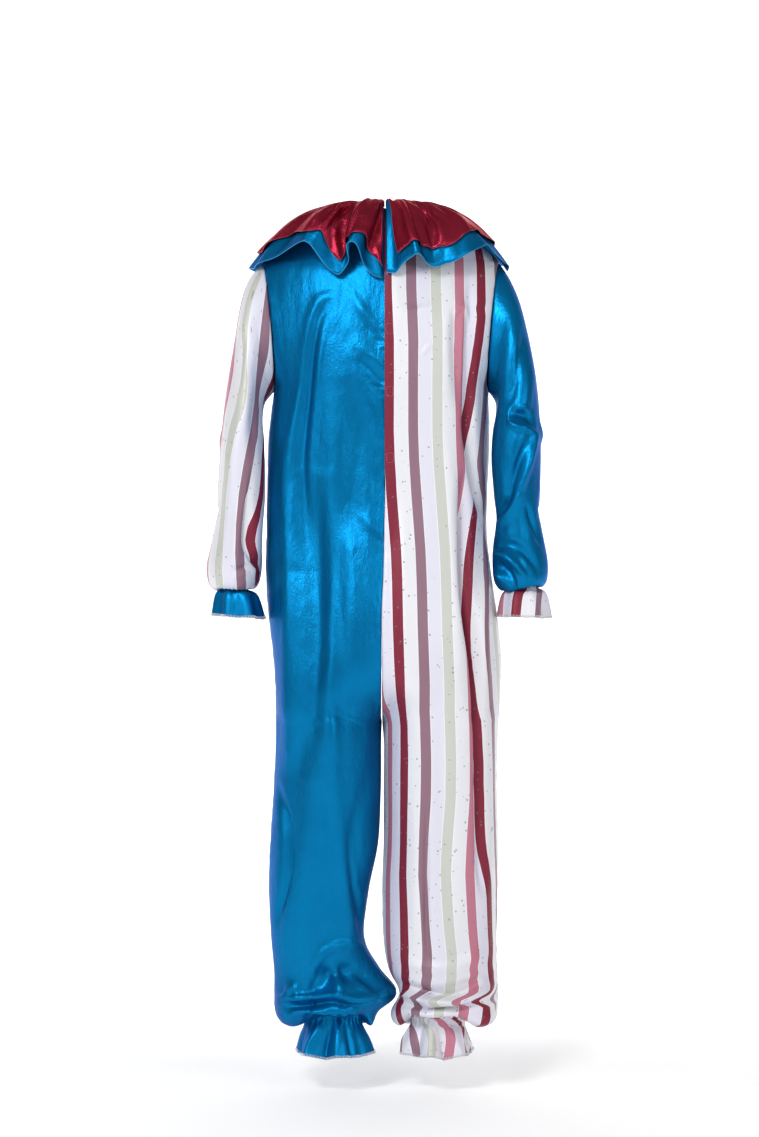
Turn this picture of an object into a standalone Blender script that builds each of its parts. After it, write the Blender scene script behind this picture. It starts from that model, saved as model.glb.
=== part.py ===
"""A two-colour clown jumpsuit as it is worn, hollow and open at neck, opening, wrists and ankles.

Frame: metres, +Z up, +Y the way the wearer faces, +X the wearer's right. The origin is at the middle of the neck
seam, on the centre-back seam's plane. Blue satin is the -X half, striped satin the +X half; the sleeves swap.
Every piece is an open surface through sections given in the tables below, thickened inwards by Solidify.
"""

import bpy
import numpy as np

MM = 0.001
WALL = 1.6 * MM  # thickness of every cloth wall
SEAM_GAP = 0.7 * MM  # between two pieces at a seam, on the outer face; the walls' inner edges come nearer

BACK_COLUMNS = 16
FRONT_COLUMNS = 12
SLEEVE_COLUMNS = 16
COLLAR_COLUMNS = 80
COLLAR_ROWS = 4
CUFF_COLUMNS = 28
CUFF_ROWS = 3

# Level sections of the body and the legs, in mm. Each half has its inner edge (centre seam, then inseam) and its
# outer edge (shoulder seam, armhole, side seam). "wrap" is how far the half section has closed into a leg: 0 is a
# quarter turn from the centre seam to the side seam, 1 is a half turn from the inseam to the side seam.
SECTION_COLUMNS = "z left in_left in_right right side_y back front square wrap".split()
SECTIONS = {
    "neck": (0, -66, 0, 0, 64, 0, -58, 64, 1.0, 0),
    "slope": (-16, -114, 0, 0, 104, 0, -74, 82, 1.0, 0),
    "shoulder_slope": (-48, -172, 0, 0, 158, 0, -92, 104, 0.97, 0),
    "shoulder": (-92, -219, 0, 0, 204, 0, -108, 118, 0.94, 0),
    "yoke": (-125, -214, 0, 0, 200, 0, -118, 126, 0.92, 0),
    "blade": (-206, -206, 0, 0, 194, 0, -130, 138, 0.90, 0),
    "chest": (-286, -200, 0, 0, 186, 0, -133, 143, 0.90, 0),
    "armpit": (-320, -198, 0, 0, 184, 0, -132, 143, 0.90, 0),
    "rib": (-400, -207, 0, 0, 186, 0, -128, 140, 0.90, 0),
    "waist": (-500, -210, 0, 0, 182, 0, -126, 136, 0.90, 0),
    "hip_top": (-575, -211, -2, -2, 181, 0, -131, 134, 0.90, 0),
    "hip": (-640, -212, -3, -3, 188, 0, -141, 134, 0.90, 0),
    "seat": (-710, -208, -6, -6, 198, 0, -150, 132, 0.90, 0.05),
    "seat_low": (-790, -199, -6, -6, 206, 0, -153, 128, 0.90, 0.18),
    "fork_top": (-848, -195, -6, -6, 204, 0, -150, 124, 0.92, 0.42),
    "fork": (-886, -194, -6, -6, 202, 0, -146, 122, 0.93, 0.70),
    "crotch": (-906, -194, -7, -5, 201, 0, -143, 120, 0.93, 1),
    "thigh_top": (-945, -194, -9, -2, 200, -2, -136, 116, 0.92, 1),
    "thigh": (-1030, -198, -10, -2, 199, -4, -126, 108, 0.90, 1),
    "knee": (-1120, -204, -14, -2, 201, -6, -118, 102, 0.90, 1),
    "calf": (-1205, -206, -30, -5, 200, -8, -110, 94, 0.90, 1),
    "shin": (-1290, -202, -37, -3, 198, -8, -104, 86, 0.90, 1),
    "pool_top": (-1345, -197, -10, 6, 199, -8, -104, 84, 0.92, 1),
    "pool": (-1386, -197, 20, 26, 201, -8, -107, 86, 0.92, 1),
    "pool_low": (-1417, -196, -12, 12, 200, -8, -106, 84, 0.92, 1),
    "pool_edge": (-1436, -189, -20, 14, 196, -8, -98, 76, 0.95, 1),
    "pool_bottom": (-1446, -174, -24, 24, 180, -8, -86, 66, 1.0, 1),
    "pool_under": (-1440, -158, -33, 35, 164, -8, -74, 56, 1.0, 1),
    "casing": (-1429, -142, -41, 46, 150, -8, -60, 43, 1.0, 1),
    "flounce_top": (-1444, -143, -40, 45, 142, -8, -61, 44, 1.0, 1),
    "flounce": (-1468, -151, -28, 31, 148, -8, -72, 54, 1.0, 1),
    "hem": (-1493, -157, -20, 31, 155, -8, -82, 64, 1.0, 1),
}

# The armhole is an ellipse through the shoulder point and the armpit; these are its half depths and the amount by
# which its back and front lean towards the centre, in mm.
ARMHOLE_BACK = 70
ARMHOLE_FRONT = 76
ARMHOLE_LEAN = 8
ARMHOLE_ROWS = ("shoulder", "armpit")
ARMHOLE_STEPS = 8  # wall rows between shoulder and armpit; the sleeve's columns meet them one to one

# Rings of the sleeves, in mm: the outermost and the innermost point of each ring, and its middle and half depths.
RING_COLUMNS = "out_x out_z in_x in_z mid_y back front".split()
LEFT_SLEEVE = {
    "armhole": (-219, -92, -198, -320, 0, 70, 76),
    "cap": (-241, -122, -204, -330, -6, 74, 78),
    "upper": (-257, -170, -211, -345, -16, 76, 72),
    "biceps": (-269, -240, -212, -370, -28, 74, 64),
    "above_elbow": (-279, -320, -211, -410, -38, 66, 58),
    "elbow": (-287, -410, -211, -455, -42, 62, 56),
    "below_elbow": (-293, -475, -214, -500, -38, 62, 56),
    "forearm": (-302, -540, -216, -550, -30, 62, 58),
    "low_forearm": (-312, -595, -217, -596, -20, 64, 62),
    "blouse": (-318, -632, -217, -634, -14, 64, 62),
    "blouse_low": (-313, -660, -222, -662, -12, 58, 56),
    "blouse_bottom": (-301, -671, -233, -673, -12, 46, 44),
    "wrist_under": (-292, -665, -244, -666, -12, 34, 33),
    "wrist": (-287, -652, -249, -652, -12, 28, 28),
}
RIGHT_SLEEVE = {
    "armhole": (204, -92, 184, -320, 0, 70, 76),
    "cap": (222, -122, 191, -330, -6, 74, 78),
    "upper": (241, -170, 196, -345, -18, 76, 70),
    "biceps": (258, -240, 194, -370, -32, 74, 60),
    "above_elbow": (271, -320, 190, -410, -44, 66, 54),
    "elbow": (276, -400, 188, -455, -48, 64, 54),
    "below_elbow": (278, -470, 191, -500, -40, 64, 56),
    "forearm": (279, -540, 197, -548, -34, 62, 58),
    "low_forearm": (286, -592, 193, -592, -32, 64, 60),
    "blouse": (290, -628, 193, -630, -32, 64, 60),
    "blouse_low": (288, -657, 197, -658, -32, 58, 54),
    "blouse_bottom": (278, -670, 207, -671, -32, 46, 43),
    "wrist_under": (270, -664, 219, -665, -32, 34, 33),
    "wrist": (266, -651, 225, -651, -32, 28, 28),
}
# Rings of the cuffs, from inside the sleeve's gathered end down to the flared hem.
LEFT_CUFF = {
    "top": (-286.5, -652.6, -249.5, -652.6, -12, 27.1, 27.1),
    "under": (-290, -671, -245, -671, -12, 31, 31),
    "flare": (-299, -682, -226, -683, -12, 42, 41),
    "hem": (-304, -718, -213, -724, -12, 50, 48),
}
RIGHT_CUFF = {
    "top": (265.5, -651.6, 225.5, -651.6, -32, 27.1, 27.1),
    "under": (269, -670, 222, -670, -32, 31, 30),
    "flare": (283, -682, 208, -682, -32, 42, 40),
    "hem": (291, -722, 200, -720, -32, 50, 46),
}
CUFF_WAVES = 7
CUFF_WAVE = 4.5 * MM

# The ruffle collar's lower hem, in mm, against the turn round the neck from centre back over the +X shoulder.
# "reach" is how far down the under layer the upper layer comes.
HEM_COLUMNS = "turn x y z reach".split()
COLLAR_HEM = [
    (0.7, 2, -127, -121, 0.92),
    (7, 20, -131, -122, 0.92),
    (12, 36, -146, -112, 0.92),
    (17, 54, -160, -96, 0.90),
    (26, 82, -138, -110, 0.88),
    (33, 95, -130, -110, 0.88),
    (42, 118, -134, -98, 0.89),
    (53, 150, -122, -80, 0.86),
    (66, 182, -88, -70, 0.84),
    (80, 209, -46, -98, 0.82),
    (92, 218, 0, -106, 0.82),
    (104, 213, 46, -96, 0.83),
    (117, 192, 96, -86, 0.86),
    (130, 146, 118, -110, 0.84),
    (144, 112, 154, -100, 0.84),
    (158, 66, 142, -124, 0.84),
    (171, 24, 172, -106, 0.84),
    (184, -22, 152, -126, 0.84),
    (198, -66, 166, -104, 0.84),
    (213, -110, 134, -120, 0.84),
    (228, -156, 132, -96, 0.86),
    (243, -200, 96, -90, 0.86),
    (257, -230, 46, -102, 0.88),
    (270, -240, -4, -101, 0.88),
    (283, -222, -50, -98, 0.84),
    (296, -184, -92, -84, 0.80),
    (307, -148, -130, -68, 0.90),
    (315, -122, -136, -84, 0.83),
    (321, -108, -132, -106, 0.88),
    (328, -86, -126, -125, 0.92),
    (333, -73, -130, -119, 0.92),
    (338, -66, -148, -94, 0.88),
    (344, -54, -164, -77, 0.92),
    (349, -41, -156, -90, 0.87),
    (353, -28, -140, -114, 0.87),
    (356.5, -15, -131, -126, 0.90),
    (359.3, -4, -128, -131, 0.94),
]
COLLAR_SEAM = 0.5  # between the neckband and the collar's gathered edge, in mm
COLLAR_START = 7  # height of the under layer's gathered edge over the neck seam, in mm
COLLAR_RISE = 25  # height over the neck seam towards which the cloth arches before it falls, in mm
COLLAR_SPREAD = 0.66  # part of the way out to the hem at which the arch has its control point
SIDE_RISE = (15, 15)  # by which the arch is lower over the -X and the +X shoulder, in mm
SIDE_SPREAD = (0.12, 0.17)  # by which its control point is nearer the neck there
COLLAR_LAYER = 2.6  # between the two layers' outer faces, in mm
COLLAR_LIFT = 3.0  # by which the upper layer stands further off at its hem, in mm
COLLAR_SLANT = 10  # degrees by which the upper layer's edge swings away from the split on the +X side
NECK_GATHERS = 22
NECK_GATHER = 1.6  # height of the gathers at the neck, in mm
COLLAR_INSIDE = (0, 0, -120 * MM)  # a point that the collar's outer faces look away from
BAND_HEIGHT = 12 * MM

# The opening at centre back, in mm: the blue underlap and the striped edge that is raised over it.
OPENING_END = -478
OPENING_FADE = 24
OPENING_TOP = (-16, 30)  # where the underlap starts below the neck, and over what length it widens
UNDERLAP = 15
OVERLAP = 1  # by which the striped edge runs past the seam
OVERLAP_RAISE = 3.7
RAISED_TO = 22  # x up to which the striped edge stays raised
RAISE_WIDTH = 34  # over which it settles back on to the panel
PATCH_HEIGHTS = (-213, -321, -437)  # middles of the hook-and-loop squares, in mm
PATCH_SIZE = (12, 20)
PATCH_INSET = 1.5  # from the underlap's edge, in mm
PATCH_THICKNESS = 0.8 * MM
PATCH_LIFT = 0.4 * MM

# Flounce and pooled cloth: (section, half waves in a panel, height in mm).
LEG_WAVES = {
    "pool": 1.5,
    "pool_low": 3.0,
    "pool_edge": 3.5,
    "pool_bottom": 3.0,
    "pool_under": 2.2,
    "casing": 1.2,
    "flounce_top": 2.4,
    "flounce": 4.5,
    "hem": 6.5,
}
HALF_WAVES = 6
# How far the pooled cloth is drawn up at mid back, in mm, where the elastic shows under it.
POOL_LIFTS = {
    "pool_low": 8,
    "pool_edge": 20,
    "pool_bottom": 28,
    "pool_under": 22,
    "casing": 8,
    "flounce_top": 5,
}
LIFT_RISE = 0.3  # share of a back panel's width over which the lift grows from the inseam
LIFT_FALL = (0.9, 0.4)  # where it has gone again towards the side seam, and over what share it falls
WAVE_DRIFT = 0.035  # by which the waves are uneven, as a share of the panel's width
WAVE_SHIFT = 0.6  # by which the two legs' waves differ, in radians

# The largest folds, each a soft ridge (depth above 0) or trough along a line seen square-on from one side, in mm.
# The line runs from (a0, z0) to (a1, z1), where a is x from the back or front and y from the left or right.
FOLD_COLUMNS = "view a0 z0 a1 z1 bow width depth".split()
FOLD_FADE = 0.25  # share of a fold's length over which each end fades out
FOLD_TURN = 1.7  # how soon a fold fades in as the cloth turns to face its view
FOLD_RINGS = 3  # rings over which a sleeve's folds fade in below the armhole
FOLDS = {
    "body": [
        ("back", -74, -150, -66, -520, 6, 22, -8),
        ("back", -112, -170, -118, -640, -8, 26, 7),
        ("back", -6, -175, -120, -235, 10, 15, -6),
        ("back", -4, -300, -110, -345, 10, 16, -5),
        ("back", -160, -560, -140, -880, 6, 24, 6),
        ("back", -90, -620, -70, -1000, 0, 26, -6),
        ("back", 146, -150, 132, -340, -7, 13, -10),
        ("back", 131, -300, 174, -570, 2, 13, -12),
        ("back", 174, -560, 178, -920, -4, 13, 8),
        ("back", 60, -200, 74, -700, 0, 24, -5),
        ("back", 133, -470, 166, -1080, 0, 14, -10),
        ("back", 110, -940, 116, -1300, 0, 20, 6),
        ("back", -150, -960, -160, -1280, 0, 20, -6),
        ("back", -100, -940, -104, -1290, 0, 24, 6),
        ("back", -184, -1352, -20, -1352, 26, 13, -8),
        ("back", -170, -1392, -10, -1386, 20, 16, 12),
        ("back", 16, -1360, 186, -1350, 14, 13, -7),
        ("back", 10, -1404, 190, -1396, 12, 15, 9),
        ("front", -80, -160, -90, -560, 4, 24, -7),
        ("front", 90, -170, 100, -560, -4, 24, -7),
        ("front", -120, -500, -110, -1000, 0, 26, 6),
        ("front", 118, -520, 106, -1020, 0, 26, 6),
        ("front", -160, -1360, -30, -1364, 14, 15, -7),
        ("front", 20, -1362, 170, -1358, 14, 15, -7),
        ("front", -160, -1400, -20, -1398, 10, 15, 8),
        ("front", 20, -1400, 180, -1402, 10, 15, 8),
        ("left", -70, -1355, 60, -1360, 10, 15, -5),
        ("right", -70, -1358, 60, -1352, 10, 15, -5),
    ],
    "sleeve_left": [
        ("back", -226, -330, -276, -420, 6, 13, -6),
        ("back", -228, -560, -300, -520, 8, 14, -7),
        ("left", -70, -400, 20, -430, 6, 14, -6),
    ],
    "sleeve_right": [
        ("back", 204, -330, 262, -372, 8, 13, -9),
        ("back", 206, -380, 264, -350, -6, 12, 7),
        ("back", 204, -556, 262, -484, 12, 13, -9),
        ("back", 200, -600, 280, -560, 10, 14, 7),
        ("right", -80, -380, 10, -420, 6, 14, -6),
    ],
}

BLUE = (0.006, 0.16, 0.42, 1.0)
STRIPED = (0.80, 0.79, 0.84, 1.0)
BURGUNDY = (0.24, 0.012, 0.035, 1.0)
TAPE = (0.75, 0.75, 0.75, 1.0)
SATIN_ROUGHNESS = 0.35
TAPE_ROUGHNESS = 0.8


def read_table(rows, columns):
    """The table as one array for each named column."""
    values = np.array(list(rows), float)
    return {name: values[:, i] for i, name in enumerate(columns)}


def smooth(values, v):
    """The Catmull-Rom curve through one value for each row, read at row number v."""
    padded = np.concatenate([[2 * values[0] - values[1]], values, [2 * values[-1] - values[-2]]])
    i = np.clip(np.floor(v).astype(int), 0, len(values) - 2)
    t = v - i
    a, b, c, d = padded[i], padded[i + 1], padded[i + 2], padded[i + 3]
    curve = (c - a) * t + (2 * a - 5 * b + 4 * c - d) * t**2 + (3 * b - a - 3 * c + d) * t**3
    return b + 0.5 * curve


def ease(t):
    """0 below 0, 1 above 1, and a smooth S between."""
    t = np.clip(t, 0, 1)
    return t * t * (3 - 2 * t)


def normals(points):
    """Unit normals of a grid of points, from its differences along rows and columns."""
    along = np.gradient(points, axis=1)
    down = np.gradient(points, axis=0)
    across = np.cross(along, down)
    return across / np.maximum(np.linalg.norm(across, axis=2, keepdims=True), 1e-12)


def outwards(points, centre):
    """The grid's normals, turned to point away from a centre given for each row or for all."""
    found = normals(points)
    side = np.sign(np.mean(np.sum(found * (points - centre), axis=2)))
    return found * side, side


def fold_height(piece, points, facing):
    """The sum of the folds' heights at each point, each a bell across its line, fading out at the line's two ends
    and on cloth that doesn't face its view."""
    height = np.zeros(points.shape[:2])
    for row in FOLDS[piece]:
        fold = dict(zip(FOLD_COLUMNS, row))
        axis, sign = {"back": (1, -1), "front": (1, 1), "left": (0, -1), "right": (0, 1)}[fold["view"]]
        across = points[:, :, 1 - axis] / MM
        level = points[:, :, 2] / MM
        run = np.array([fold["a1"] - fold["a0"], fold["z1"] - fold["z0"]])
        length = np.linalg.norm(run)
        run = run / length
        t = ((across - fold["a0"]) * run[0] + (level - fold["z0"]) * run[1]) / length
        off = (level - fold["z0"]) * run[0] - (across - fold["a0"]) * run[1] - 4 * fold["bow"] * t * (1 - t)
        ends = ease(t / FOLD_FADE) * ease((1 - t) / FOLD_FADE)
        seen = ease(FOLD_TURN * sign * facing[:, :, axis])
        height += fold["depth"] * ends * seen * np.exp(-((off / fold["width"]) ** 2))
    return height * MM


SECTION = read_table(SECTIONS.values(), SECTION_COLUMNS)
ROW_NUMBER = {name: i for i, name in enumerate(SECTIONS)}
SHOULDER, ARMPIT = (ROW_NUMBER[name] for name in ARMHOLE_ROWS)


def armhole(side, angle):
    """The armhole at an angle from the shoulder point (0) to the armpit (pi): x in mm, its depth as a share of
    the half depth at mid height, and z in mm."""
    edge = SECTION["left" if side < 0 else "right"]
    top = np.array([edge[SHOULDER], SECTION["z"][SHOULDER]])
    low = np.array([edge[ARMPIT], SECTION["z"][ARMPIT]])
    middle, half = (top + low) / 2, (top - low) / 2
    x = middle[0] + half[0] * np.cos(angle) - side * ARMHOLE_LEAN * np.sin(angle)
    return x, np.sin(angle), middle[1] + half[1] * np.cos(angle)


def body_surface(side, face, v, s):
    """Points of a body panel. Row number v runs down the section table and s from the inner edge (0) to the outer
    edge (1). Each row is part of a superellipse that starts at the centre seam, or, once the half has wrapped into
    a leg, at the inseam. It ends at the side seam or, between shoulder and armpit, where it meets the armhole."""
    v = np.asarray(v, float)[:, None]
    s = np.asarray(s, float)[None, :]
    read = {name: smooth(values, v) for name, values in SECTION.items()}
    inner = read["in_left" if side < 0 else "in_right"]
    outer = read["left" if side < 0 else "right"]
    depth = read["back" if face < 0 else "front"]
    in_armhole = (v > SHOULDER) & (v < ARMPIT)
    hole_x, hole_depth, hole_z = armhole(side, np.pi * np.clip((v - SHOULDER) / (ARMPIT - SHOULDER), 0, 1))
    outer = np.where(in_armhole, hole_x, outer)
    z = np.where(in_armhole, hole_z, read["z"])
    wrap = np.clip(read["wrap"], 0, 1)
    power = read["square"]
    share = hole_depth * (ARMHOLE_BACK if face < 0 else ARMHOLE_FRONT) / np.abs(depth)
    last = np.where(in_armhole, np.arcsin(share ** (1 / power)), 0)
    first = (np.pi / 2) * (1 + wrap)
    reach = np.abs(np.cos(first)) ** power
    half = (outer - inner) / (np.cos(last) ** power + reach)
    middle = inner + half * reach
    first = first + np.arcsin((opening_lap(side, face, z) / np.abs(half)) ** (1 / power))
    theta = first + (last - first) * s
    x = middle + half * np.sign(np.cos(theta)) * np.abs(np.cos(theta)) ** power
    y = read["side_y"] + (depth - read["side_y"]) * np.abs(np.sin(theta)) ** power
    return np.stack([x, y, z + pool_lift(face, v, s)], axis=2) * MM


def pool_lift(face, v, s):
    """How far a back panel's pooled cloth is drawn up, in mm: most at mid width, and nothing at its two edges."""
    lifts = smooth(np.array([POOL_LIFTS.get(name, 0.0) for name in SECTIONS]), v)
    gone, fall = LIFT_FALL
    return (face < 0) * lifts * ease(s / LIFT_RISE) * ease((gone - s) / fall)


def opening_lap(side, face, z):
    """How far a back panel's centre edge runs past the seam, in mm."""
    if face > 0:
        return 0 * z
    open_here = ease((z - OPENING_END) / OPENING_FADE) * ease((OPENING_TOP[0] - z) / OPENING_TOP[1])
    return (UNDERLAP if side < 0 else OVERLAP) * open_here


def opening_raise(x, z):
    """How far the striped edge stands off the underlap, in metres, at a place in mm."""
    along = ease((z - OPENING_END + OPENING_FADE) / OPENING_FADE) * ease(z / OPENING_TOP[0])
    return OVERLAP_RAISE * MM * along * (1 - ease((x - RAISED_TO) / RAISE_WIDTH))


def panel_points(side, face, v, s):
    """A body panel with its folds, leg waves, seam gaps and, on the striped back, its raised edge."""
    points = body_surface(side, face, v, s)
    found, turn = outwards(points, panel_centre(side, points))
    wrap = np.clip(smooth(SECTION["wrap"], v), 0, 1)
    found = level_edges(found, v, wrap)
    height = fold_height("body", points, found)
    waves = smooth(np.array([LEG_WAVES.get(name, 0.0) for name in SECTIONS]), v)[:, None]
    uneven = s + WAVE_DRIFT * np.sin(2 * np.pi * s + WAVE_SHIFT * side)
    height += -face * MM * waves * np.sin(HALF_WAVES * np.pi * uneven)[None, :]
    if side > 0 and face < 0:
        height += opening_raise(points[:, :, 0] / MM, points[:, :, 2] / MM)
    points = points + found * height[:, :, None]
    points[:, 0, 0] += side * SEAM_GAP / 2
    points[:, 0, 1] += face * SEAM_GAP / 2 * wrap
    edge = points[:, -2] - points[:, -1]
    points[:, -1] += edge / np.linalg.norm(edge, axis=1, keepdims=True) * SEAM_GAP / 2
    return points, turn


def level_edges(found, v, wrap):
    """The same normals, made to agree with the neighbouring panel's at the side seam, the inseam and the centre
    seam, where the sections run square to the seam's plane."""
    found = found.copy()
    found[(v <= SHOULDER) | (v >= ARMPIT), -1, 1] = 0
    found[wrap >= 1, 0, 1] = 0
    found[wrap <= 0, 0, 0] = 0
    return found / np.linalg.norm(found, axis=2, keepdims=True)


def panel_centre(side, points):
    """A line inside the panel's half for its normals to point away from, one point a row."""
    centre = points.mean(axis=1, keepdims=True)
    centre[:, :, 0] = points[:, -1:, 0] * 0.5
    centre[:, :, 1] = 0
    return centre


def ring_points(rings, t, angle, lean=0.0):
    """Points of a sleeve or a cuff: ring number t, and the angle from its outermost point over the back to its
    innermost point and on over the front. Each ring is an ellipse in its own slanted plane; the first one's back
    and front lean towards the centre by "lean", in mm, as the armhole's do."""
    table = read_table(rings.values(), RING_COLUMNS)
    t = np.asarray(t, float)[:, None]
    read = {name: smooth(values, t) for name, values in table.items()}
    side = np.sign(table["out_x"][0])
    c, s = np.cos(angle)[None, :], np.sin(angle)[None, :]
    leaning = side * lean * np.clip(1 - t, 0, 1) * np.abs(s)
    x = (read["out_x"] + read["in_x"]) / 2 + (read["out_x"] - read["in_x"]) / 2 * c - leaning
    z = (read["out_z"] + read["in_z"]) / 2 + (read["out_z"] - read["in_z"]) / 2 * c
    y = read["mid_y"] - np.where(s > 0, read["back"], read["front"]) * s
    return np.stack([x, y, z], axis=2) * MM


def collar_surface(turn, w):
    """Points of the under layer: turn round the neck in degrees, and w from the neck seam (0) to the hem (1). Each
    thread down the collar is a parabola from the neck over an arch to the hem."""
    table = read_table(COLLAR_HEM, HEM_COLUMNS)
    row = np.interp(turn, table["turn"], np.arange(len(COLLAR_HEM)))
    hem = np.stack([smooth(table[name], row) for name in ("x", "y", "z")], axis=-1)
    neck = neck_edge(turn, COLLAR_SEAM)
    neck[..., 2] += COLLAR_START
    over_shoulder = np.sin(np.radians(turn)) ** 2
    lower, nearer = (np.where(turn > 180, *pair) * over_shoulder for pair in (SIDE_RISE, SIDE_SPREAD))
    arch = neck + (COLLAR_SPREAD - nearer)[..., None] * (hem - neck)
    arch[..., 2] = COLLAR_RISE - lower
    w = w[..., None]
    points = (1 - w) ** 2 * neck + 2 * w * (1 - w) * arch + w**2 * hem
    gather = NECK_GATHER * np.sin(w * np.pi) * (1 - w) ** 2
    points[..., 2:] += gather * np.sin(np.radians(turn) * NECK_GATHERS)[..., None]
    return points * MM


def collar_reach(turn):
    """How far down the under layer the upper layer's hem lies."""
    table = read_table(COLLAR_HEM, HEM_COLUMNS)
    return smooth(table["reach"], np.interp(turn, table["turn"], np.arange(len(COLLAR_HEM))))


def neck_edge(turn, grow):
    """The neck seam's point in mm at a turn from centre back, grown outwards by a distance in mm."""
    angle = np.radians(turn)
    x, y = np.sin(angle), -np.cos(angle)
    wide = np.where(x > 0, SECTION["right"][0], -SECTION["left"][0]) + grow
    deep = np.where(y < 0, -SECTION["back"][0], SECTION["front"][0]) + grow
    return np.stack([wide * x, deep * y, SECTION["z"][0] + 0 * x], axis=-1)


def material(name, colour, roughness):
    made = bpy.data.materials.new(name)
    made.use_nodes = True
    shader = made.node_tree.nodes["Principled BSDF"]
    shader.inputs["Base Color"].default_value = colour
    shader.inputs["Roughness"].default_value = roughness
    shader.inputs["Metallic"].default_value = 0.0
    return made


def cloth(name, points, turn, colour, roughness=SATIN_ROUGHNESS, closed=False, thickness=WALL, offset=-1.0):
    """A wall on a grid of points: quads between neighbours, facing outwards, with Solidify on the inner side."""
    rows, columns = points.shape[:2]
    index = np.arange(rows * columns).reshape(rows, columns)
    if closed:
        index = np.concatenate([index, index[:, :1]], axis=1)
    quads = np.stack([index[:-1, :-1], index[:-1, 1:], index[1:, 1:], index[1:, :-1]], axis=2).reshape(-1, 4)
    if turn < 0:
        quads = quads[:, ::-1]
    mesh = bpy.data.meshes.new(name)
    mesh.from_pydata(points.reshape(-1, 3).tolist(), [], quads.tolist())
    mesh.materials.append(material(name + "_cloth", colour, roughness))
    mesh.shade_smooth()
    made = bpy.data.objects.new(name, mesh)
    bpy.data.collections["clown_jumpsuit"].objects.link(made)
    wall = made.modifiers.new("wall", "SOLIDIFY")
    wall.thickness = thickness
    wall.offset = offset
    return made


def body_rows():
    """Row numbers of the body's wall: every section, finer rows along the armhole, and two where the opening ends."""
    rows = np.arange(len(SECTIONS), dtype=float)
    fine = np.linspace(SHOULDER, ARMPIT, ARMHOLE_STEPS + 1)
    closing = [row_at(OPENING_END + OPENING_FADE), row_at(OPENING_END)]
    return np.unique(np.concatenate([rows[(rows < SHOULDER) | (rows > ARMPIT)], fine, closing]))


def row_at(level):
    """The row number whose section lies at a level above the seat, in mm."""
    torso = slice(0, ROW_NUMBER["seat"] + 1)
    return float(np.interp(-level, -SECTION["z"][torso], np.arange(ROW_NUMBER["seat"] + 1)))


def build_body():
    """The four long panels; it gives the blue back's points, which the closure patches lie on."""
    grids = {}
    for side, half, colour in ((-1, "left", BLUE), (1, "right", STRIPED)):
        for face, name, columns in ((-1, "back", BACK_COLUMNS), (1, "front", FRONT_COLUMNS)):
            points, turn = panel_points(side, face, body_rows(), np.linspace(0, 1, columns + 1))
            cloth(f"{name}_{half}", points, turn, colour)
            grids[f"{name}_{half}"] = points
    return grids["back_left"]


def build_sleeves():
    angle = np.linspace(0, 2 * np.pi, SLEEVE_COLUMNS, endpoint=False)
    for name, rings, colour in (("sleeve_left", LEFT_SLEEVE, STRIPED), ("sleeve_right", RIGHT_SLEEVE, BLUE)):
        points = ring_points(rings, np.arange(len(rings)), angle, ARMHOLE_LEAN)
        found, turn = outwards(points, points.mean(axis=1, keepdims=True))
        fade = ease(np.arange(len(rings)) / FOLD_RINGS)[:, None]
        points += found * (fold_height(name, points, found) * fade)[:, :, None]
        step = points[1] - points[0]
        points[0] += step / np.linalg.norm(step, axis=1, keepdims=True) * SEAM_GAP
        cloth(name, points, turn, colour, closed=True)


def build_cuffs():
    angle = np.linspace(0, 2 * np.pi, CUFF_COLUMNS, endpoint=False)
    for name, rings, colour in (("cuff_left", LEFT_CUFF, BLUE), ("cuff_right", RIGHT_CUFF, STRIPED)):
        t = np.linspace(0, len(rings) - 1, CUFF_ROWS + 1)
        points = ring_points(rings, t, angle)
        found, turn = outwards(points, points.mean(axis=1, keepdims=True))
        grow = (t / t[-1])[:, None]
        points += found * (CUFF_WAVE * grow * np.sin(CUFF_WAVES * angle)[None, :])[:, :, None]
        cloth(name, points, turn, colour, closed=True)


def build_collar():
    table = read_table(COLLAR_HEM, HEM_COLUMNS)
    first, last = table["turn"][0], table["turn"][-1]
    w = np.linspace(0, 1, COLLAR_ROWS + 1)[:, None]
    share = np.linspace(0, 1, COLLAR_COLUMNS + 1)[None, :]
    turn = first + (last - first) * share + 0 * w
    under = collar_surface(turn, w + 0 * turn)
    _, side = outwards(under, COLLAR_INSIDE)
    cloth("collar_under", under, side, BLUE)
    slanted = first + COLLAR_SLANT * w
    turn = slanted + (last - slanted) * share
    reach = w * collar_reach(turn)
    upper = collar_surface(turn, reach)
    found, side = outwards(upper, COLLAR_INSIDE)
    upper += found * (COLLAR_LAYER + COLLAR_LIFT * w)[:, :, None] * MM
    upper[0] = neck_edge(turn[0], COLLAR_SEAM) * MM
    upper[0, :, 2] += (COLLAR_START + COLLAR_LAYER) * MM
    cloth("collar_upper", upper, side, BURGUNDY)


def build_neckband():
    table = read_table(COLLAR_HEM, HEM_COLUMNS)
    turn = np.linspace(table["turn"][0], table["turn"][-1], COLLAR_COLUMNS // 2 + 1)
    low = neck_edge(turn, 0.0) * MM
    low[:, 2] += SEAM_GAP
    high = low + np.array([0, 0, BAND_HEIGHT])
    points = np.stack([high, low])
    _, side = outwards(points, np.zeros(3))
    cloth("neckband", points, side, BURGUNDY)


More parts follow.
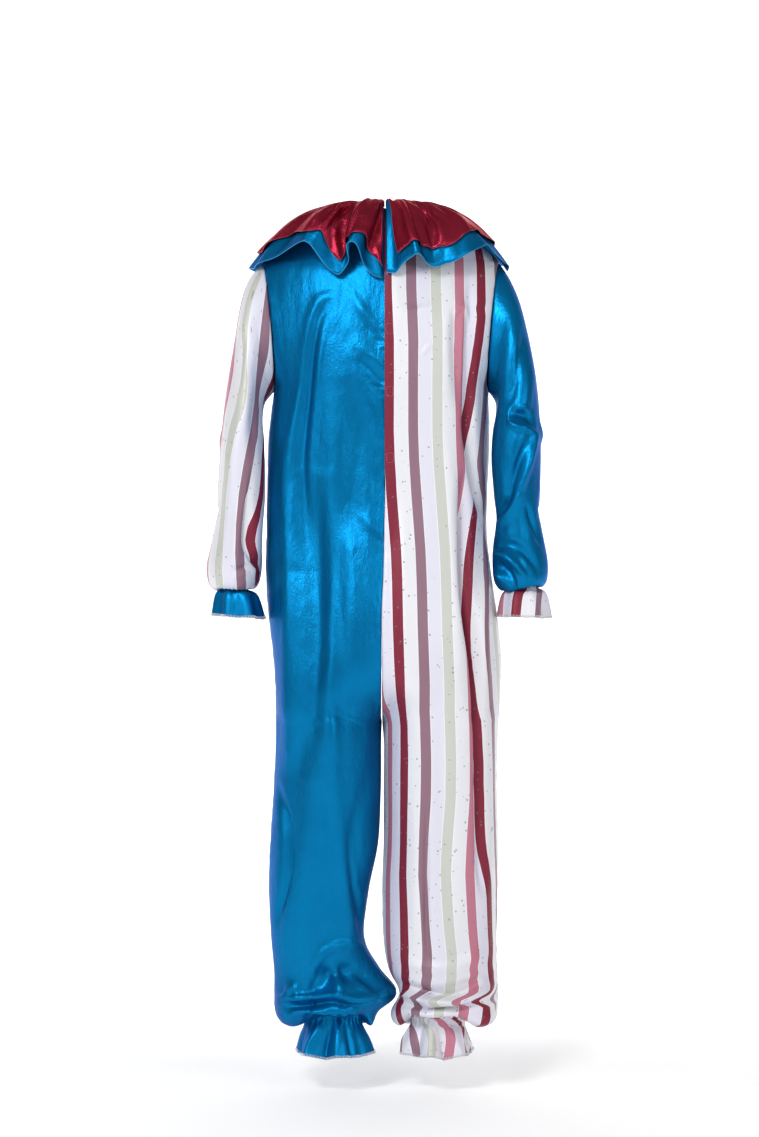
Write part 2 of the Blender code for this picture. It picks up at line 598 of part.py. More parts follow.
def on_panel(grid, rows, v, s):
    """Points of a panel's own wall at row numbers v and columns s, straight between its corners."""
    row = np.interp(v, rows, np.arange(len(rows)))[:, None]
    column = (np.asarray(s) * (grid.shape[1] - 1))[None, :]
    i = np.minimum(row.astype(int), grid.shape[0] - 2)
    j = np.minimum(column.astype(int), grid.shape[1] - 2)
    down, along = (row - i)[:, :, None], (column - j)[:, :, None]
    upper = grid[i, j] * (1 - along) + grid[i, j + 1] * along
    lower = grid[i + 1, j] * (1 - along) + grid[i + 1, j + 1] * along
    return upper * (1 - down) + lower * down


def column_at(grid, v, x):
    """The columns at which the blue back passes places across it, in mm, at a row number."""
    s = np.linspace(0, 1, grid.shape[1])
    line = on_panel(grid, body_rows(), [v], s)[0, :, 0]
    return np.interp(-np.asarray(x) * MM, -line, s)


def build_patches(grid):
    """Three squares on the underlap, each lifted off the blue panel's own points."""
    wide, tall = PATCH_SIZE
    outer = UNDERLAP - PATCH_INSET
    for number, middle in enumerate(PATCH_HEIGHTS, 1):
        v = [row_at(middle + tall / 2), row_at(middle), row_at(middle - tall / 2)]
        s = column_at(grid, v[1], (outer, outer - wide))
        points = on_panel(grid, body_rows(), v, s)
        found, turn = outwards(points, np.zeros(3) + points.mean(axis=(0, 1)) * [1, 0, 1])
        points += found * PATCH_LIFT
        name = f"closure_patch_{number}"
        cloth(name, points, turn, TAPE, roughness=TAPE_ROUGHNESS, thickness=PATCH_THICKNESS, offset=1.0)


def main():
    for old in list(bpy.data.objects):
        bpy.data.objects.remove(old, do_unlink=True)
    collection = bpy.data.collections.new("clown_jumpsuit")
    bpy.context.scene.collection.children.link(collection)
    build_patches(build_body())
    build_sleeves()
    build_cuffs()
    build_collar()
    build_neckband()


main()
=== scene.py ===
import bpy
import numpy as np
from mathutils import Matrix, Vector


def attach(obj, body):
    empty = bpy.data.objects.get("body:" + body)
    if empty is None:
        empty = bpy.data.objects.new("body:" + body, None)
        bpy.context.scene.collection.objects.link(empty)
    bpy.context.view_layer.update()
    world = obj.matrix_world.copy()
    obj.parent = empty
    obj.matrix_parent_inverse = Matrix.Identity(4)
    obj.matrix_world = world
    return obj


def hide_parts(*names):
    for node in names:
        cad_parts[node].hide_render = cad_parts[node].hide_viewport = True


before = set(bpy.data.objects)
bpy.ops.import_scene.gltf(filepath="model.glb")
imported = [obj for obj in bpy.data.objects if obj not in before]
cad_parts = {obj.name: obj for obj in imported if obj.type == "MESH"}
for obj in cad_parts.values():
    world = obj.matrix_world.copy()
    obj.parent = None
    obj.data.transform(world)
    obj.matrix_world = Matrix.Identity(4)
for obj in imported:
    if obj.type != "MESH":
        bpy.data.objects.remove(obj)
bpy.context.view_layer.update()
BODY = "root"
MM = 0.001

# ---------------------------------------------------------------------------------------------------------- sizes
CLOTH = 0.7 * MM  # drawn thickness of a satin wall, hems included
ROW_STEP = 4.1 * MM  # between two rows of a body panel
BACK_COLUMNS = 112
FRONT_ROW_STEP = 6.4 * MM
FRONT_COLUMNS = 64
SLEEVE_ROWS = 172
SLEEVE_COLUMNS = 180
CUFF_ROWS = 26
CUFF_COLUMNS = 220
COLLAR_ROWS = 40
COLLAR_COLUMNS = 380
BAND_COLUMNS = 360
# Fine steps along a line before it is divided evenly: down the armhole's sections, a sleeve and a panel.
ARMHOLE_STEPS, SLEEVE_STEPS, PANEL_STEPS = 2000, 3000, 4000
# Seeds of the random unevenness, each piece's own.
PANEL_SEED, PUCKER_SEED, GATHER_SEED = 10, 40, 44
SLEEVE_SEEDS = {"sleeve_left": 200, "sleeve_right": 230}
CUFF_SEEDS = {"cuff_left": 300, "cuff_right": 320}
FOLD_SEED = 400

# The garment's sections, rings and collar hem, in mm, as in the part's source.
SECTION_COLUMNS = "z left in_left in_right right side_y back front square wrap".split()
SECTIONS = {
    "neck": (0, -66, 0, 0, 64, 0, -58, 64, 1.0, 0),
    "slope": (-16, -114, 0, 0, 104, 0, -74, 82, 1.0, 0),
    "shoulder_slope": (-48, -172, 0, 0, 158, 0, -92, 104, 0.97, 0),
    "shoulder": (-92, -219, 0, 0, 204, 0, -108, 118, 0.94, 0),
    "yoke": (-125, -214, 0, 0, 200, 0, -118, 126, 0.92, 0),
    "blade": (-206, -206, 0, 0, 194, 0, -130, 138, 0.90, 0),
    "chest": (-286, -200, 0, 0, 186, 0, -133, 143, 0.90, 0),
    "armpit": (-320, -198, 0, 0, 184, 0, -132, 143, 0.90, 0),
    "rib": (-400, -207, 0, 0, 186, 0, -128, 140, 0.90, 0),
    "waist": (-500, -210, 0, 0, 182, 0, -126, 136, 0.90, 0),
    "hip_top": (-575, -211, -2, -2, 181, 0, -131, 134, 0.90, 0),
    "hip": (-640, -212, -3, -3, 188, 0, -141, 134, 0.90, 0),
    "seat": (-710, -208, -6, -6, 198, 0, -150, 132, 0.90, 0.05),
    "seat_low": (-790, -199, -6, -6, 206, 0, -153, 128, 0.90, 0.18),
    "fork_top": (-848, -195, -6, -6, 204, 0, -150, 124, 0.92, 0.42),
    "fork": (-886, -194, -6, -6, 202, 0, -146, 122, 0.93, 0.70),
    "crotch": (-906, -194, -7, -5, 201, 0, -143, 120, 0.93, 1),
    "thigh_top": (-945, -194, -9, -2, 200, -2, -136, 116, 0.92, 1),
    "thigh": (-1030, -198, -10, -2, 199, -4, -126, 108, 0.90, 1),
    "knee": (-1120, -204, -14, -2, 201, -6, -118, 102, 0.90, 1),
    "calf": (-1205, -206, -30, -5, 200, -8, -110, 94, 0.90, 1),
    "shin": (-1290, -202, -37, -3, 198, -8, -104, 86, 0.90, 1),
    "pool_top": (-1345, -197, -10, 6, 199, -8, -104, 84, 0.92, 1),
    "pool": (-1386, -197, 20, 26, 201, -8, -107, 86, 0.92, 1),
    "pool_low": (-1417, -196, -12, 12, 200, -8, -106, 84, 0.92, 1),
    "pool_edge": (-1436, -189, -20, 14, 196, -8, -98, 76, 0.95, 1),
    "pool_bottom": (-1446, -174, -24, 24, 180, -8, -86, 66, 1.0, 1),
    "pool_under": (-1440, -158, -33, 35, 164, -8, -74, 56, 1.0, 1),
    "casing": (-1429, -142, -41, 46, 150, -8, -60, 43, 1.0, 1),
    "flounce_top": (-1444, -143, -40, 45, 142, -8, -61, 44, 1.0, 1),
    "flounce": (-1468, -151, -28, 31, 148, -8, -72, 54, 1.0, 1),
    "hem": (-1493, -157, -20, 31, 155, -8, -82, 64, 1.0, 1),
}
ARMHOLE_BACK, ARMHOLE_FRONT = 70, 76  # mm of the armhole's depth behind and before the side
ARMHOLE_LEAN = 8  # mm by which its middle leans inwards
RING_COLUMNS = "out_x out_z in_x in_z mid_y back front".split()
LEFT_SLEEVE = {
    "armhole": (-219, -92, -198, -320, 0, 70, 76),
    "cap": (-241, -122, -204, -330, -6, 74, 78),
    "upper": (-257, -170, -211, -345, -16, 76, 72),
    "biceps": (-269, -240, -212, -370, -28, 74, 64),
    "above_elbow": (-279, -320, -211, -410, -38, 66, 58),
    "elbow": (-287, -410, -211, -455, -42, 62, 56),
    "below_elbow": (-293, -475, -214, -500, -38, 62, 56),
    "forearm": (-302, -540, -216, -550, -30, 62, 58),
    "low_forearm": (-312, -595, -217, -596, -20, 64, 62),
    "blouse": (-318, -632, -217, -634, -14, 64, 62),
    "blouse_low": (-313, -660, -222, -662, -12, 58, 56),
    "blouse_bottom": (-301, -671, -233, -673, -12, 46, 44),
    "wrist_under": (-292, -665, -244, -666, -12, 34, 33),
    "wrist": (-287, -652, -249, -652, -12, 28, 28),
}
RIGHT_SLEEVE = {
    "armhole": (204, -92, 184, -320, 0, 70, 76),
    "cap": (222, -122, 191, -330, -6, 74, 78),
    "upper": (241, -170, 196, -345, -18, 76, 70),
    "biceps": (258, -240, 194, -370, -32, 74, 60),
    "above_elbow": (271, -320, 190, -410, -44, 66, 54),
    "elbow": (276, -400, 188, -455, -48, 64, 54),
    "below_elbow": (278, -470, 191, -500, -40, 64, 56),
    "forearm": (279, -540, 197, -548, -34, 62, 58),
    "low_forearm": (286, -592, 193, -592, -32, 64, 60),
    "blouse": (290, -628, 193, -630, -32, 64, 60),
    "blouse_low": (288, -657, 197, -658, -32, 58, 54),
    "blouse_bottom": (278, -670, 207, -671, -32, 46, 43),
    "wrist_under": (270, -664, 219, -665, -32, 34, 33),
    "wrist": (266, -651, 225, -651, -32, 28, 28),
}
LEFT_CUFF = {
    "top": (-286.5, -652.6, -249.5, -652.6, -12, 27.1, 27.1),
    "under": (-290, -671, -245, -671, -12, 31, 31),
    "flare": (-299, -682, -226, -683, -12, 42, 41),
    "hem": (-304, -718, -213, -724, -12, 50, 48),
}
RIGHT_CUFF = {
    "top": (265.5, -651.6, 225.5, -651.6, -32, 27.1, 27.1),
    "under": (269, -670, 222, -670, -32, 31, 30),
    "flare": (283, -682, 208, -682, -32, 42, 40),
    "hem": (291, -722, 200, -720, -32, 50, 46),
}
CUFF_WAVES = 7
CUFF_WAVE = 3.6 * MM  # their height at the hem
HEM_COLUMNS = "turn x y z reach".split()
COLLAR_HEM = [
    (0.7, 2, -127, -121, 0.92),
    (7, 20, -131, -122, 0.92),
    (12, 34, -144, -107, 0.92),
    (15, 46, -156, -98, 0.91),
    (18.5, 57, -160, -94.5, 0.90),
    (22, 68, -154, -98, 0.89),
    (25.5, 78, -142, -107, 0.88),
    (28.5, 86, -133, -112, 0.88),
    (35, 103, -131, -107, 0.88),
    (43, 124, -133, -101, 0.88),
    (53, 151, -122, -85, 0.85),
    (59, 168, -108, -75, 0.84),
    (66, 182, -88, -70, 0.84),
    (80, 209, -46, -98, 0.82),
    (92, 218, 0, -106, 0.82),
    (104, 213, 46, -96, 0.83),
    (117, 192, 96, -86, 0.86),
    (130, 146, 118, -110, 0.84),
    (144, 112, 154, -100, 0.84),
    (158, 66, 142, -124, 0.84),
    (171, 24, 172, -106, 0.84),
    (184, -22, 152, -126, 0.84),
    (198, -66, 166, -104, 0.84),
    (213, -110, 134, -120, 0.84),
    (228, -156, 132, -96, 0.86),
    (243, -200, 96, -90, 0.86),
    (257, -230, 46, -102, 0.88),
    (270, -240, -4, -101, 0.88),
    (283, -222, -50, -98, 0.84),
    (296, -184, -92, -84, 0.80),
    (307, -148, -130, -68, 0.90),
    (311, -134, -134, -70, 0.88),
    (315, -124, -136, -81, 0.83),
    (319, -113, -133, -97, 0.86),
    (324, -99, -127, -114, 0.90),
    (329, -82, -125, -125, 0.92),
    (333, -69, -128, -117, 0.92),
    (336, -65, -139, -103, 0.90),
    (338.5, -69, -151, -90, 0.88),
    (341.5, -66, -161, -78, 0.90),
    (345, -57, -164, -74, 0.92),
    (348, -49, -161, -81, 0.89),
    (351, -40, -151, -97, 0.87),
    (353.5, -31, -139, -114, 0.87),
    (356.5, -19, -130, -127, 0.90),
    (359.3, -6, -127, -131, 0.94),
]
# The collar, in mm unless a comment says otherwise.
COLLAR_SEAM = 0.5  # from the neck seam to the under layer
COLLAR_START = 7  # its height above the seam at the neck
COLLAR_RISE = 25  # height of the arch it stands in
COLLAR_SPREAD = 0.66  # share of the way to the hem at which the arch stands
SIDE_RISE = (15, 15)  # how much lower the arch is over the left and the right shoulder
SIDE_SPREAD = (0.12, 0.17)  # and how much nearer to the neck
COLLAR_LAYER = 2.6  # from the under layer to the upper one at the neck
COLLAR_LIFT = 3.0  # and how much that grows to the hem
COLLAR_SLANT = 10  # degrees by which the upper layer's split runs aslant
COLLAR_INSIDE = np.array([0, 0, -120 * MM])
NECK_GATHERS = 22  # round the neck
NECK_GATHER = 1.6  # their height
BAND_HEIGHT = 12
# The back opening, in mm.
OPENING_END = -478
OPENING_FADE = 24  # over which its lap ends
OPENING_TOP = (-16, 30)  # height at which the lap starts, and over which it grows
UNDERLAP = 15
OVERLAP = 1
OVERLAP_RAISE = 3.7
RAISED_TO = 22
RAISE_WIDTH = 34
# Waves round the legs and the cloth drawn up over the ankle elastic, in mm at each section.
LEG_WAVES = {"pool": 1.5, "pool_low": 3.0, "pool_edge": 3.5, "pool_bottom": 3.0, "pool_under": 2.2, "casing": 1.2,
             "flounce_top": 2.4, "flounce": 4.5, "hem": 6.5}
HALF_WAVES = 6  # across a panel
WAVE_DRIFT = 0.035  # share of the width by which they are uneven
WAVE_SHIFT = 0.6  # radians between the two legs
POOL_LIFTS = {"pool_low": 8, "pool_edge": 20, "pool_bottom": 28, "pool_under": 22, "casing": 8, "flounce_top": 5}
LIFT_RISE = 0.3  # share of the width over which the drawing up grows from the inner edge
LIFT_FALL = (0.9, 0.4)  # where it is gone, and over what share it falls

# Stripes of the printed satin: one repeat is burgundy, mauve, sage and rose, each a band on white.
STRIPE_STEP = 43.6  # mm from one band's edge to the next one's
STRIPE_BAND = 17.8  # mm
STRIPE_EDGE = 1.6  # mm of brighter white beside a band
# x of the mauve band's left edge on the striped back, in mm, from the neck down. The printed cloth is cut so that
# its first repeat starts at the opening; the pooled cloth shifts it sideways.
GRAIN_LINE = [(-60, 36), (-150, 36.4), (-240, 39.9), (-395, 39.9), (-445, 41.5), (-500, 45), (-550, 48.5), (-602, 52),
              (-655, 53.8), (-735, 55.5), (-828, 59), (-897, 60.7), (-970, 62.4), (-1036, 62.4), (-1100, 60.7),
              (-1170, 59), (-1240, 62.4), (-1296, 64.2), (-1345, 64.2), (-1366, 60), (-1384, 50), (-1400, 42),
              (-1415, 46), (-1440, 45), (-1493, 46)]
GRAIN_BAND = 1  # the mauve band's place in the repeat
# The left sleeve's mauve band's left edge, x against z in mm.
SLEEVE_GRAIN_LINE = [(-92, -204), (-140, -209), (-190, -214.6), (-242, -220), (-295, -225), (-347, -229), (-400, -236),
                     (-452, -246), (-504, -254.8), (-557, -260), (-609, -261.8), (-661, -260)]
SLEEVE_AXIS = (-0.09, 0.0, -1.0)  # the way its stripes run


# --------------------------------------------------------------------------------------------------------- curves
def smooth(values, at):
    """The Catmull-Rom curve through one value for each row, read at row number "at"."""
    values = np.asarray(values, float)
    padded = np.concatenate([[2 * values[0] - values[1]], values, [2 * values[-1] - values[-2]]])
    i = np.clip(np.floor(at).astype(int), 0, len(values) - 2)
    t = at - i
    a, b, c, d = padded[i], padded[i + 1], padded[i + 2], padded[i + 3]
    return b + 0.5 * ((c - a) * t + (2 * a - 5 * b + 4 * c - d) * t**2 + (3 * b - a - 3 * c + d) * t**3)


def ease(t):
    """0 below 0, 1 above 1, and a smooth S between."""
    t = np.clip(t, 0, 1)
    return t * t * (3 - 2 * t)


def bell(offset, width):
    """A Gauss bell: 1 on the line, and almost 0 two widths away."""
    return np.exp(-((offset / width) ** 2))


def drift(seed, across, along, cells, around=None):
    """Smooth unevenness from about -1 to 1 over a surface: the bicubic curve through seeded random heights on a
    lattice with the given cell sizes. Where "around" is given, it is the number of cells after which it repeats."""
    rng = np.random.default_rng(seed)
    i, j = across / cells[0], along / cells[1]
    i, j = np.broadcast_arrays(i - i.min(), j - j.min())
    rows, columns = np.floor(i).astype(int), np.floor(j).astype(int)
    lattice = rng.uniform(-1, 1, (around or rows.max() + 4, columns.max() + 4))
    weights = [basis(i - rows), basis(j - columns)]
    total = np.zeros(i.shape)
    for a in range(4):
        for b in range(4):
            row = (rows + a) % around if around else rows + a
            total += weights[0][a] * weights[1][b] * lattice[row, columns + b]
    return total


def basis(t):
    """The four weights of a uniform cubic B-spline at a place from 0 to 1 in its middle span."""
    return ((1 - t) ** 3 / 4, (3 * t**3 - 6 * t**2 + 4) / 4, (-3 * t**3 + 3 * t**2 + 3 * t + 1) / 4, t**3 / 4)


def read_table(rows, columns):
    """The table as one array for each named column."""
    values = np.array(list(rows), float)
    return {name: values[:, i] for i, name in enumerate(columns)}


def normals(points, closed=False):
    """Unit normals of a grid of points, from its differences along rows and columns."""
    if closed:
        along = np.roll(points, -1, axis=1) - np.roll(points, 1, axis=1)
    else:
        along = np.gradient(points, axis=1)
    across = np.cross(along, np.gradient(points, axis=0))
    return across / np.maximum(np.linalg.norm(across, axis=2, keepdims=True), 1e-12)


def outwards(points, centre, closed=False):
    """The grid's normals, turned to point away from a centre given for each row or for all."""
    found = normals(points, closed)
    turn = np.sign(np.mean(np.sum(found * (points - centre), axis=2)))
    return found * turn, turn


def run_along(line):
    """Distance along a line of points from its first one."""
    return np.concatenate([[0], np.cumsum(np.linalg.norm(np.diff(line, axis=0), axis=1))])


def arc_along(points):
    """Distance along each row of a grid from its first point."""
    steps = np.linalg.norm(np.diff(points, axis=1), axis=2)
    return np.concatenate([np.zeros((len(points), 1)), np.cumsum(steps, axis=1)], axis=1)


# -------------------------------------------------------------------------------------------------------- creases
# Each crease is a soft ridge (height above 0) or trough along a line seen square-on from one side, given as (width,
# path, lean). Its path's points are (x or y, z, height), and "width" is the bell's, all in mm. "lean", where there is
# one, drags the cloth sideways along its row, as a share of the height, so that a deep fold lies over to one side.
VIEWS = {"back": (1, -1), "front": (1, 1), "left": (0, -1), "right": (0, 1)}
FACING_TURN = 1.7  # how soon a crease fades where the cloth turns away from its view
SLOPE_STEP = 2  # mm along a crease's path over which its slope is read
CREASES = {}

CREASES["blue_back"] = {"back": [
    (12, [(-100, -150, 0), (-114, -172, 5), (-124, -200, 7), (-131, -240, 7), (-140, -300, 6), (-159, -385, 6),
        (-173, -455, 5), (-178, -560, 3), (-174, -640, 0)]),
    (11, [(-104, -158, 0), (-117, -200, -8), (-128, -260, -11), (-137, -340, -10), (-145, -425, -8),
        (-146, -530, -6), (-140, -640, 0)]),
    (24, [(-128, -470, 0), (-124, -560, -11), (-122, -640, -19), (-121, -720, -21), (-122, -800, -19),
        (-127, -880, -13), (-134, -1000, 0)]),
    (18, [(-146, -880, 0), (-152, -960, -6), (-160, -1040, -7), (-166, -1120, -6), (-162, -1220, 0)]),
    (9, [(-108, -190, 0), (-112, -230, 4), (-117, -285, 4), (-127, -370, 3), (-134, -450, 2), (-134, -520, 0)]),
    (24, [(-30, -350, 0), (-38, -380, -4), (-48, -421, -6), (-57, -490, -6), (-59, -548, -5), (-60, -600, 0)]),
    (26, [(-90, -230, 0), (-88, -320, 4), (-86, -400, 5), (-84, -480, 4), (-88, -560, 2), (-90, -620, 0)]),
    (9, [(-58, -150, 0), (-34, -196, 3.5), (-12, -232, 4), (-1, -244, 2)]),
    (11, [(-46, -186, 0), (-22, -220, -4), (-8, -240, -4), (-1, -250, 0)]),
    (12, [(-64, -236, 0), (-34, -258, 3), (-10, -280, 3.5), (-1, -288, 2)]),
    (16, [(-40, -268, 0), (-18, -296, -5), (-6, -312, -5), (-1, -322, -1)]),
    (16, [(-60, -240, 0), (-50, -280, 3), (-32, -335, 3.5), (-18, -376, 3), (-5, -412, 2), (-1, -424, 0)]),
    (16, [(-26, -400, 0), (-18, -440, -3.5), (-15, -490, -3.5), (-12, -560, 0)]),
    (9, [(-44, -536, 0), (-24, -560, 2), (-4, -582, 1.5), (0, -590, 0)]),
    (20, [(-130, -560, 0), (-124, -640, 3.5), (-122, -740, 4), (-126, -840, 3), (-130, -920, 0)]),
    (12, [(-166, -480, 0), (-168, -540, 5), (-169, -640, 6), (-170, -740, 6), (-173, -850, 5), (-172, -950, 4),
        (-177, -1000, 0)]),
    (18, [(-98, -560, 0), (-96, -660, 3), (-96, -780, 5), (-100, -870, 5), (-103, -950, 4), (-108, -1040, 3),
        (-110, -1160, 0)]),
    (13, [(-80, -580, 0), (-80, -690, -3), (-79, -775, -4), (-76, -860, -3), (-72, -960, 0)]),
    (18, [(-66, -520, 0), (-62, -600, 3), (-59, -700, 4), (-58, -780, 3), (-60, -880, 0)]),
    (12, [(-96, -830, 0), (-92, -910, 3), (-88, -990, 4.5), (-82, -1080, 5), (-73, -1163, 6), (-66, -1220, 6),
        (-60, -1286, 5), (-60, -1312, 0)]),
    (12, [(-22, -920, 0), (-34, -1010, -3), (-50, -1062, -5), (-58, -1120, -6), (-56, -1190, -6), (-45, -1248, -5),
        (-38, -1300, 0)]),
    (6, [(-62, -1080, 0), (-50, -1190, 4), (-36, -1248, 5), (-31, -1290, 0)]),
    (6, [(-192, -1005, 0), (-188, -1027, -6), (-177, -1080, -11), (-172, -1120, -12), (-172, -1155, -11),
        (-181, -1215, -8), (-188, -1250, -4), (-190, -1280, 0)], -0.4),
    (9, [(-146, -1384, 0), (-128, -1334, 3), (-103, -1302, 5), (-70, -1294, 5), (-36, -1306, 4), (-12, -1334, 0)]),
    (18, [(-142, -1394, 0), (-128, -1368, -12), (-100, -1346, -19), (-70, -1340, -20), (-40, -1348, -16),
        (-14, -1364, -8), (-4, -1376, 0)]),
    (11, [(-88, -1316, 0), (-86, -1334, 12), (-83, -1354, 16), (-80, -1372, 13), (-80, -1388, 0)]),
    (9, [(-62, -1330, 0), (-52, -1346, 5), (-40, -1362, 6), (-28, -1376, 3), (-22, -1386, 0)]),
    (8, [(-108, -1336, 0), (-112, -1352, 4), (-118, -1368, 4), (-124, -1384, 0)]),
    (6, [(-190, -1392, 4), (-178, -1388, 9), (-135, -1384, 11), (-112, -1380, 12), (-92, -1377, 12),
        (-72, -1382, 10), (-54, -1386, 12), (-32, -1385, 11), (-10, -1382, 8), (-2, -1380, 5)]),
    (5, [(-178, -1402, 0), (-150, -1398, -11), (-118, -1394, -13), (-88, -1392, -10), (-60, -1399, -12),
        (-30, -1399, -10), (-8, -1394, 0)]),
    (6, [(-184, -1430, 0), (-170, -1424, 4), (-158, -1412, 6), (-135, -1409, 6), (-106, -1409, 5), (-88, -1412, 0)]),
    (9, [(-178, -1384, 0), (-170, -1374, 6), (-161, -1369, 8), (-152, -1374, 6), (-146, -1386, 0)]),
    (4, [(-98, -1406, 0), (-96, -1418, -4), (-96, -1430, -2), (-96, -1438, 0)]),
    (4, [(-82, -1406, 0), (-80, -1418, -5), (-80, -1430, -3), (-80, -1438, 0)]),
    (4, [(-66, -1406, 0), (-64, -1418, -4), (-62, -1430, -2), (-62, -1438, 0)]),
    (6, [(-112, -1428, 0), (-118, -1446, 5), (-130, -1472, 8), (-134, -1488, 8)]),
    (6, [(-96, -1428, 0), (-98, -1450, -6), (-105, -1476, -8), (-108, -1490, -8)]),
    (7, [(-84, -1430, 0), (-84, -1450, 5), (-86, -1474, 7), (-87, -1490, 7)]),
    (6, [(-70, -1430, 0), (-66, -1452, -6), (-62, -1476, -8), (-60, -1490, -8)]),
    (7, [(-56, -1430, 0), (-46, -1450, 5), (-38, -1474, 8), (-34, -1490, 8)]),
]}
CREASES["striped_back"] = {"back": [
    (8, [(150, -120, 0), (150, -190, -4), (149, -250, -9), (149, -300, -14), (148, -343, -18), (147, -388, -24),
        (151, -420, -28), (157, -455, -29), (163, -490, -24), (169, -520, -12), (174, -550, 0)], 0.4),
    (9, [(126, -170, 0), (123, -215, -5), (123, -262, -6), (125, -310, -4), (128, -360, 0)]),
    (8, [(137, -462, 0), (136, -510, -9), (136, -551, -17), (136, -611, -25), (139, -681, -30), (147, -740, -32),
        (156, -790, -32), (162, -850, -30), (166, -932, -26), (168, -1036, -24), (170, -1130, -18),
        (172, -1210, 0)], 0.5),
    (5, [(75, -1010, 0), (73, -1090, -5), (72, -1180, -7), (73, -1270, -6), (75, -1340, 0)], 0.3),
    (18, [(112, -420, 0), (112, -520, 4), (116, -620, 6), (124, -720, 6), (128, -800, 4), (132, -900, 0)]),
    (10, [(178, -560, 0), (176, -620, 6), (170, -700, 9), (172, -780, 7), (176, -860, 3), (178, -940, 0)]),
    (22, [(60, -200, 0), (66, -300, -4), (70, -420, -5), (72, -560, -4), (74, -700, 0)]),
    (20, [(30, -520, 0), (34, -640, 4), (40, -800, 4), (44, -960, 0)]),
    (18, [(92, -760, 0), (96, -900, -5), (100, -1040, -5), (104, -1180, -4), (104, -1280, 0)]),
    (16, [(60, -1000, 0), (58, -1120, 5), (56, -1240, 4), (54, -1320, 0)]),
    (6, [(22, -196, 0), (50, -186, 2.5), (88, -178, 0)]),
    (5, [(58, -266, 0), (72, -254, 2.5), (90, -236, 0)]),
    (5, [(118, -196, 0), (134, -178, 3), (146, -186, 3), (154, -204, 0)]),
    (12, [(20, -1316, 0), (56, -1330, 5), (104, -1334, 6), (150, -1322, 5), (186, -1312, 0)]),
    (8, [(14, -1362, -2), (44, -1368, -6), (86, -1372, -9), (126, -1366, -9), (166, -1354, -6), (192, -1344, 0)]),
    (9, [(10, -1384, 3), (50, -1386, 7), (96, -1390, 8), (140, -1386, 9), (180, -1376, 6), (196, -1370, 3)]),
    (5, [(22, -1370, 0), (56, -1376, -14), (100, -1380, -17), (140, -1373, -15), (176, -1360, 0)]),
    (5, [(14, -1400, 0), (46, -1398, -12), (80, -1404, -16), (114, -1403, -13), (160, -1393, 0)]),
    (6, [(60, -1392, 0), (84, -1386, 8), (112, -1390, 9), (136, -1398, 5), (150, -1404, 0)]),
    (5, [(28, -1386, 0), (40, -1380, 7), (56, -1384, 6), (66, -1392, 0)]),
    (6, [(40, -1404, 0), (80, -1406, -6), (124, -1404, -8), (164, -1396, -6), (190, -1390, 0)]),
    (9, [(16, -1414, 0), (60, -1420, 5), (110, -1422, 6), (150, -1424, 9), (178, -1424, 9), (194, -1416, 3)]),
    (7, [(58, -1430, 0), (48, -1450, 5), (40, -1474, 7), (36, -1490, 7)]),
    (6, [(68, -1430, 0), (64, -1450, -5), (60, -1474, -7), (58, -1490, -7)]),
    (7, [(80, -1430, 0), (82, -1450, 5), (82, -1474, 6), (82, -1490, 6)]),
    (6, [(92, -1430, 0), (97, -1450, -5), (103, -1474, -8), (106, -1490, -8)]),
    (7, [(104, -1430, 0), (114, -1450, 5), (124, -1474, 7), (130, -1490, 7)]),
]}
CREASES["blue_front"] = {"front": [
    (24, [(-80, -160, 0), (-86, -300, -7), (-88, -460, -7), (-90, -580, 0)]),
    (26, [(-120, -500, 0), (-118, -700, 6), (-112, -900, 6), (-110, -1020, 0)]),
    (12, [(-176, -1366, 0), (-120, -1352, -8), (-70, -1354, -8), (-20, -1370, 0)]),
    (14, [(-180, -1400, 2), (-120, -1396, 9), (-60, -1398, 9), (-12, -1398, 2)]),
    (9, [(-60, -240, 0), (-30, -280, 4), (-2, -300, 0)]),
    (14, [(-150, -820, 0), (-146, -960, -6), (-140, -1120, -6), (-144, -1280, 0)]),
]}
CREASES["striped_front"] = {"front": [
    (24, [(90, -170, 0), (96, -320, -7), (100, -460, -7), (102, -580, 0)]),
    (26, [(118, -520, 0), (114, -700, 6), (110, -900, 6), (106, -1040, 0)]),
    (12, [(20, -1366, 0), (70, -1352, -8), (130, -1354, -8), (184, -1366, 0)]),
    (14, [(12, -1398, 2), (70, -1400, 9), (140, -1400, 9), (190, -1402, 2)]),
    (10, [(60, -260, 0), (34, -300, 4), (4, -330, 0)]),
    (14, [(150, -800, 0), (148, -960, -6), (150, -1120, -6), (152, -1280, 0)]),
]}
CREASES["sleeve_left"] = {"back": [
    (9, [(-250, -215, 0), (-252, -250, -5), (-255, -285, -5), (-256, -330, 0)]),
    (12, [(-236, -300, 0), (-246, -350, 5), (-256, -410, 6), (-264, -470, 4), (-270, -540, 0)]),
    (10, [(-216, -300, 0), (-222, -352, -4), (-228, -392, -5), (-228, -430, -3), (-226, -480, 0)]),
    (5, [(-230, -455, 0), (-235, -500, -4), (-239.5, -540, -10), (-242.5, -575, -14), (-241.5, -595, -14),
        (-233, -613, -12), (-218, -636, -8)], 0.9),
    (10, [(-252, -500, 0), (-258, -560, 5), (-262, -610, 5), (-262, -645, 2)]),
    (10, [(-222, -520, 0), (-224, -560, 5), (-224, -600, 6), (-222, -626, 0)]),
    (6, [(-228, -640, 0), (-244, -634, -5), (-266, -640, -3), (-284, -648, 0)]),
    (12, [(-290, -430, 0), (-294, -500, -4), (-298, -570, -5), (-300, -630, 0)]),
], "left": [
    (12, [(-60, -400, 0), (-20, -418, 6), (20, -430, 0)]),
    (12, [(-60, -520, 0), (-20, -540, -6), (30, -530, 0)]),
]}
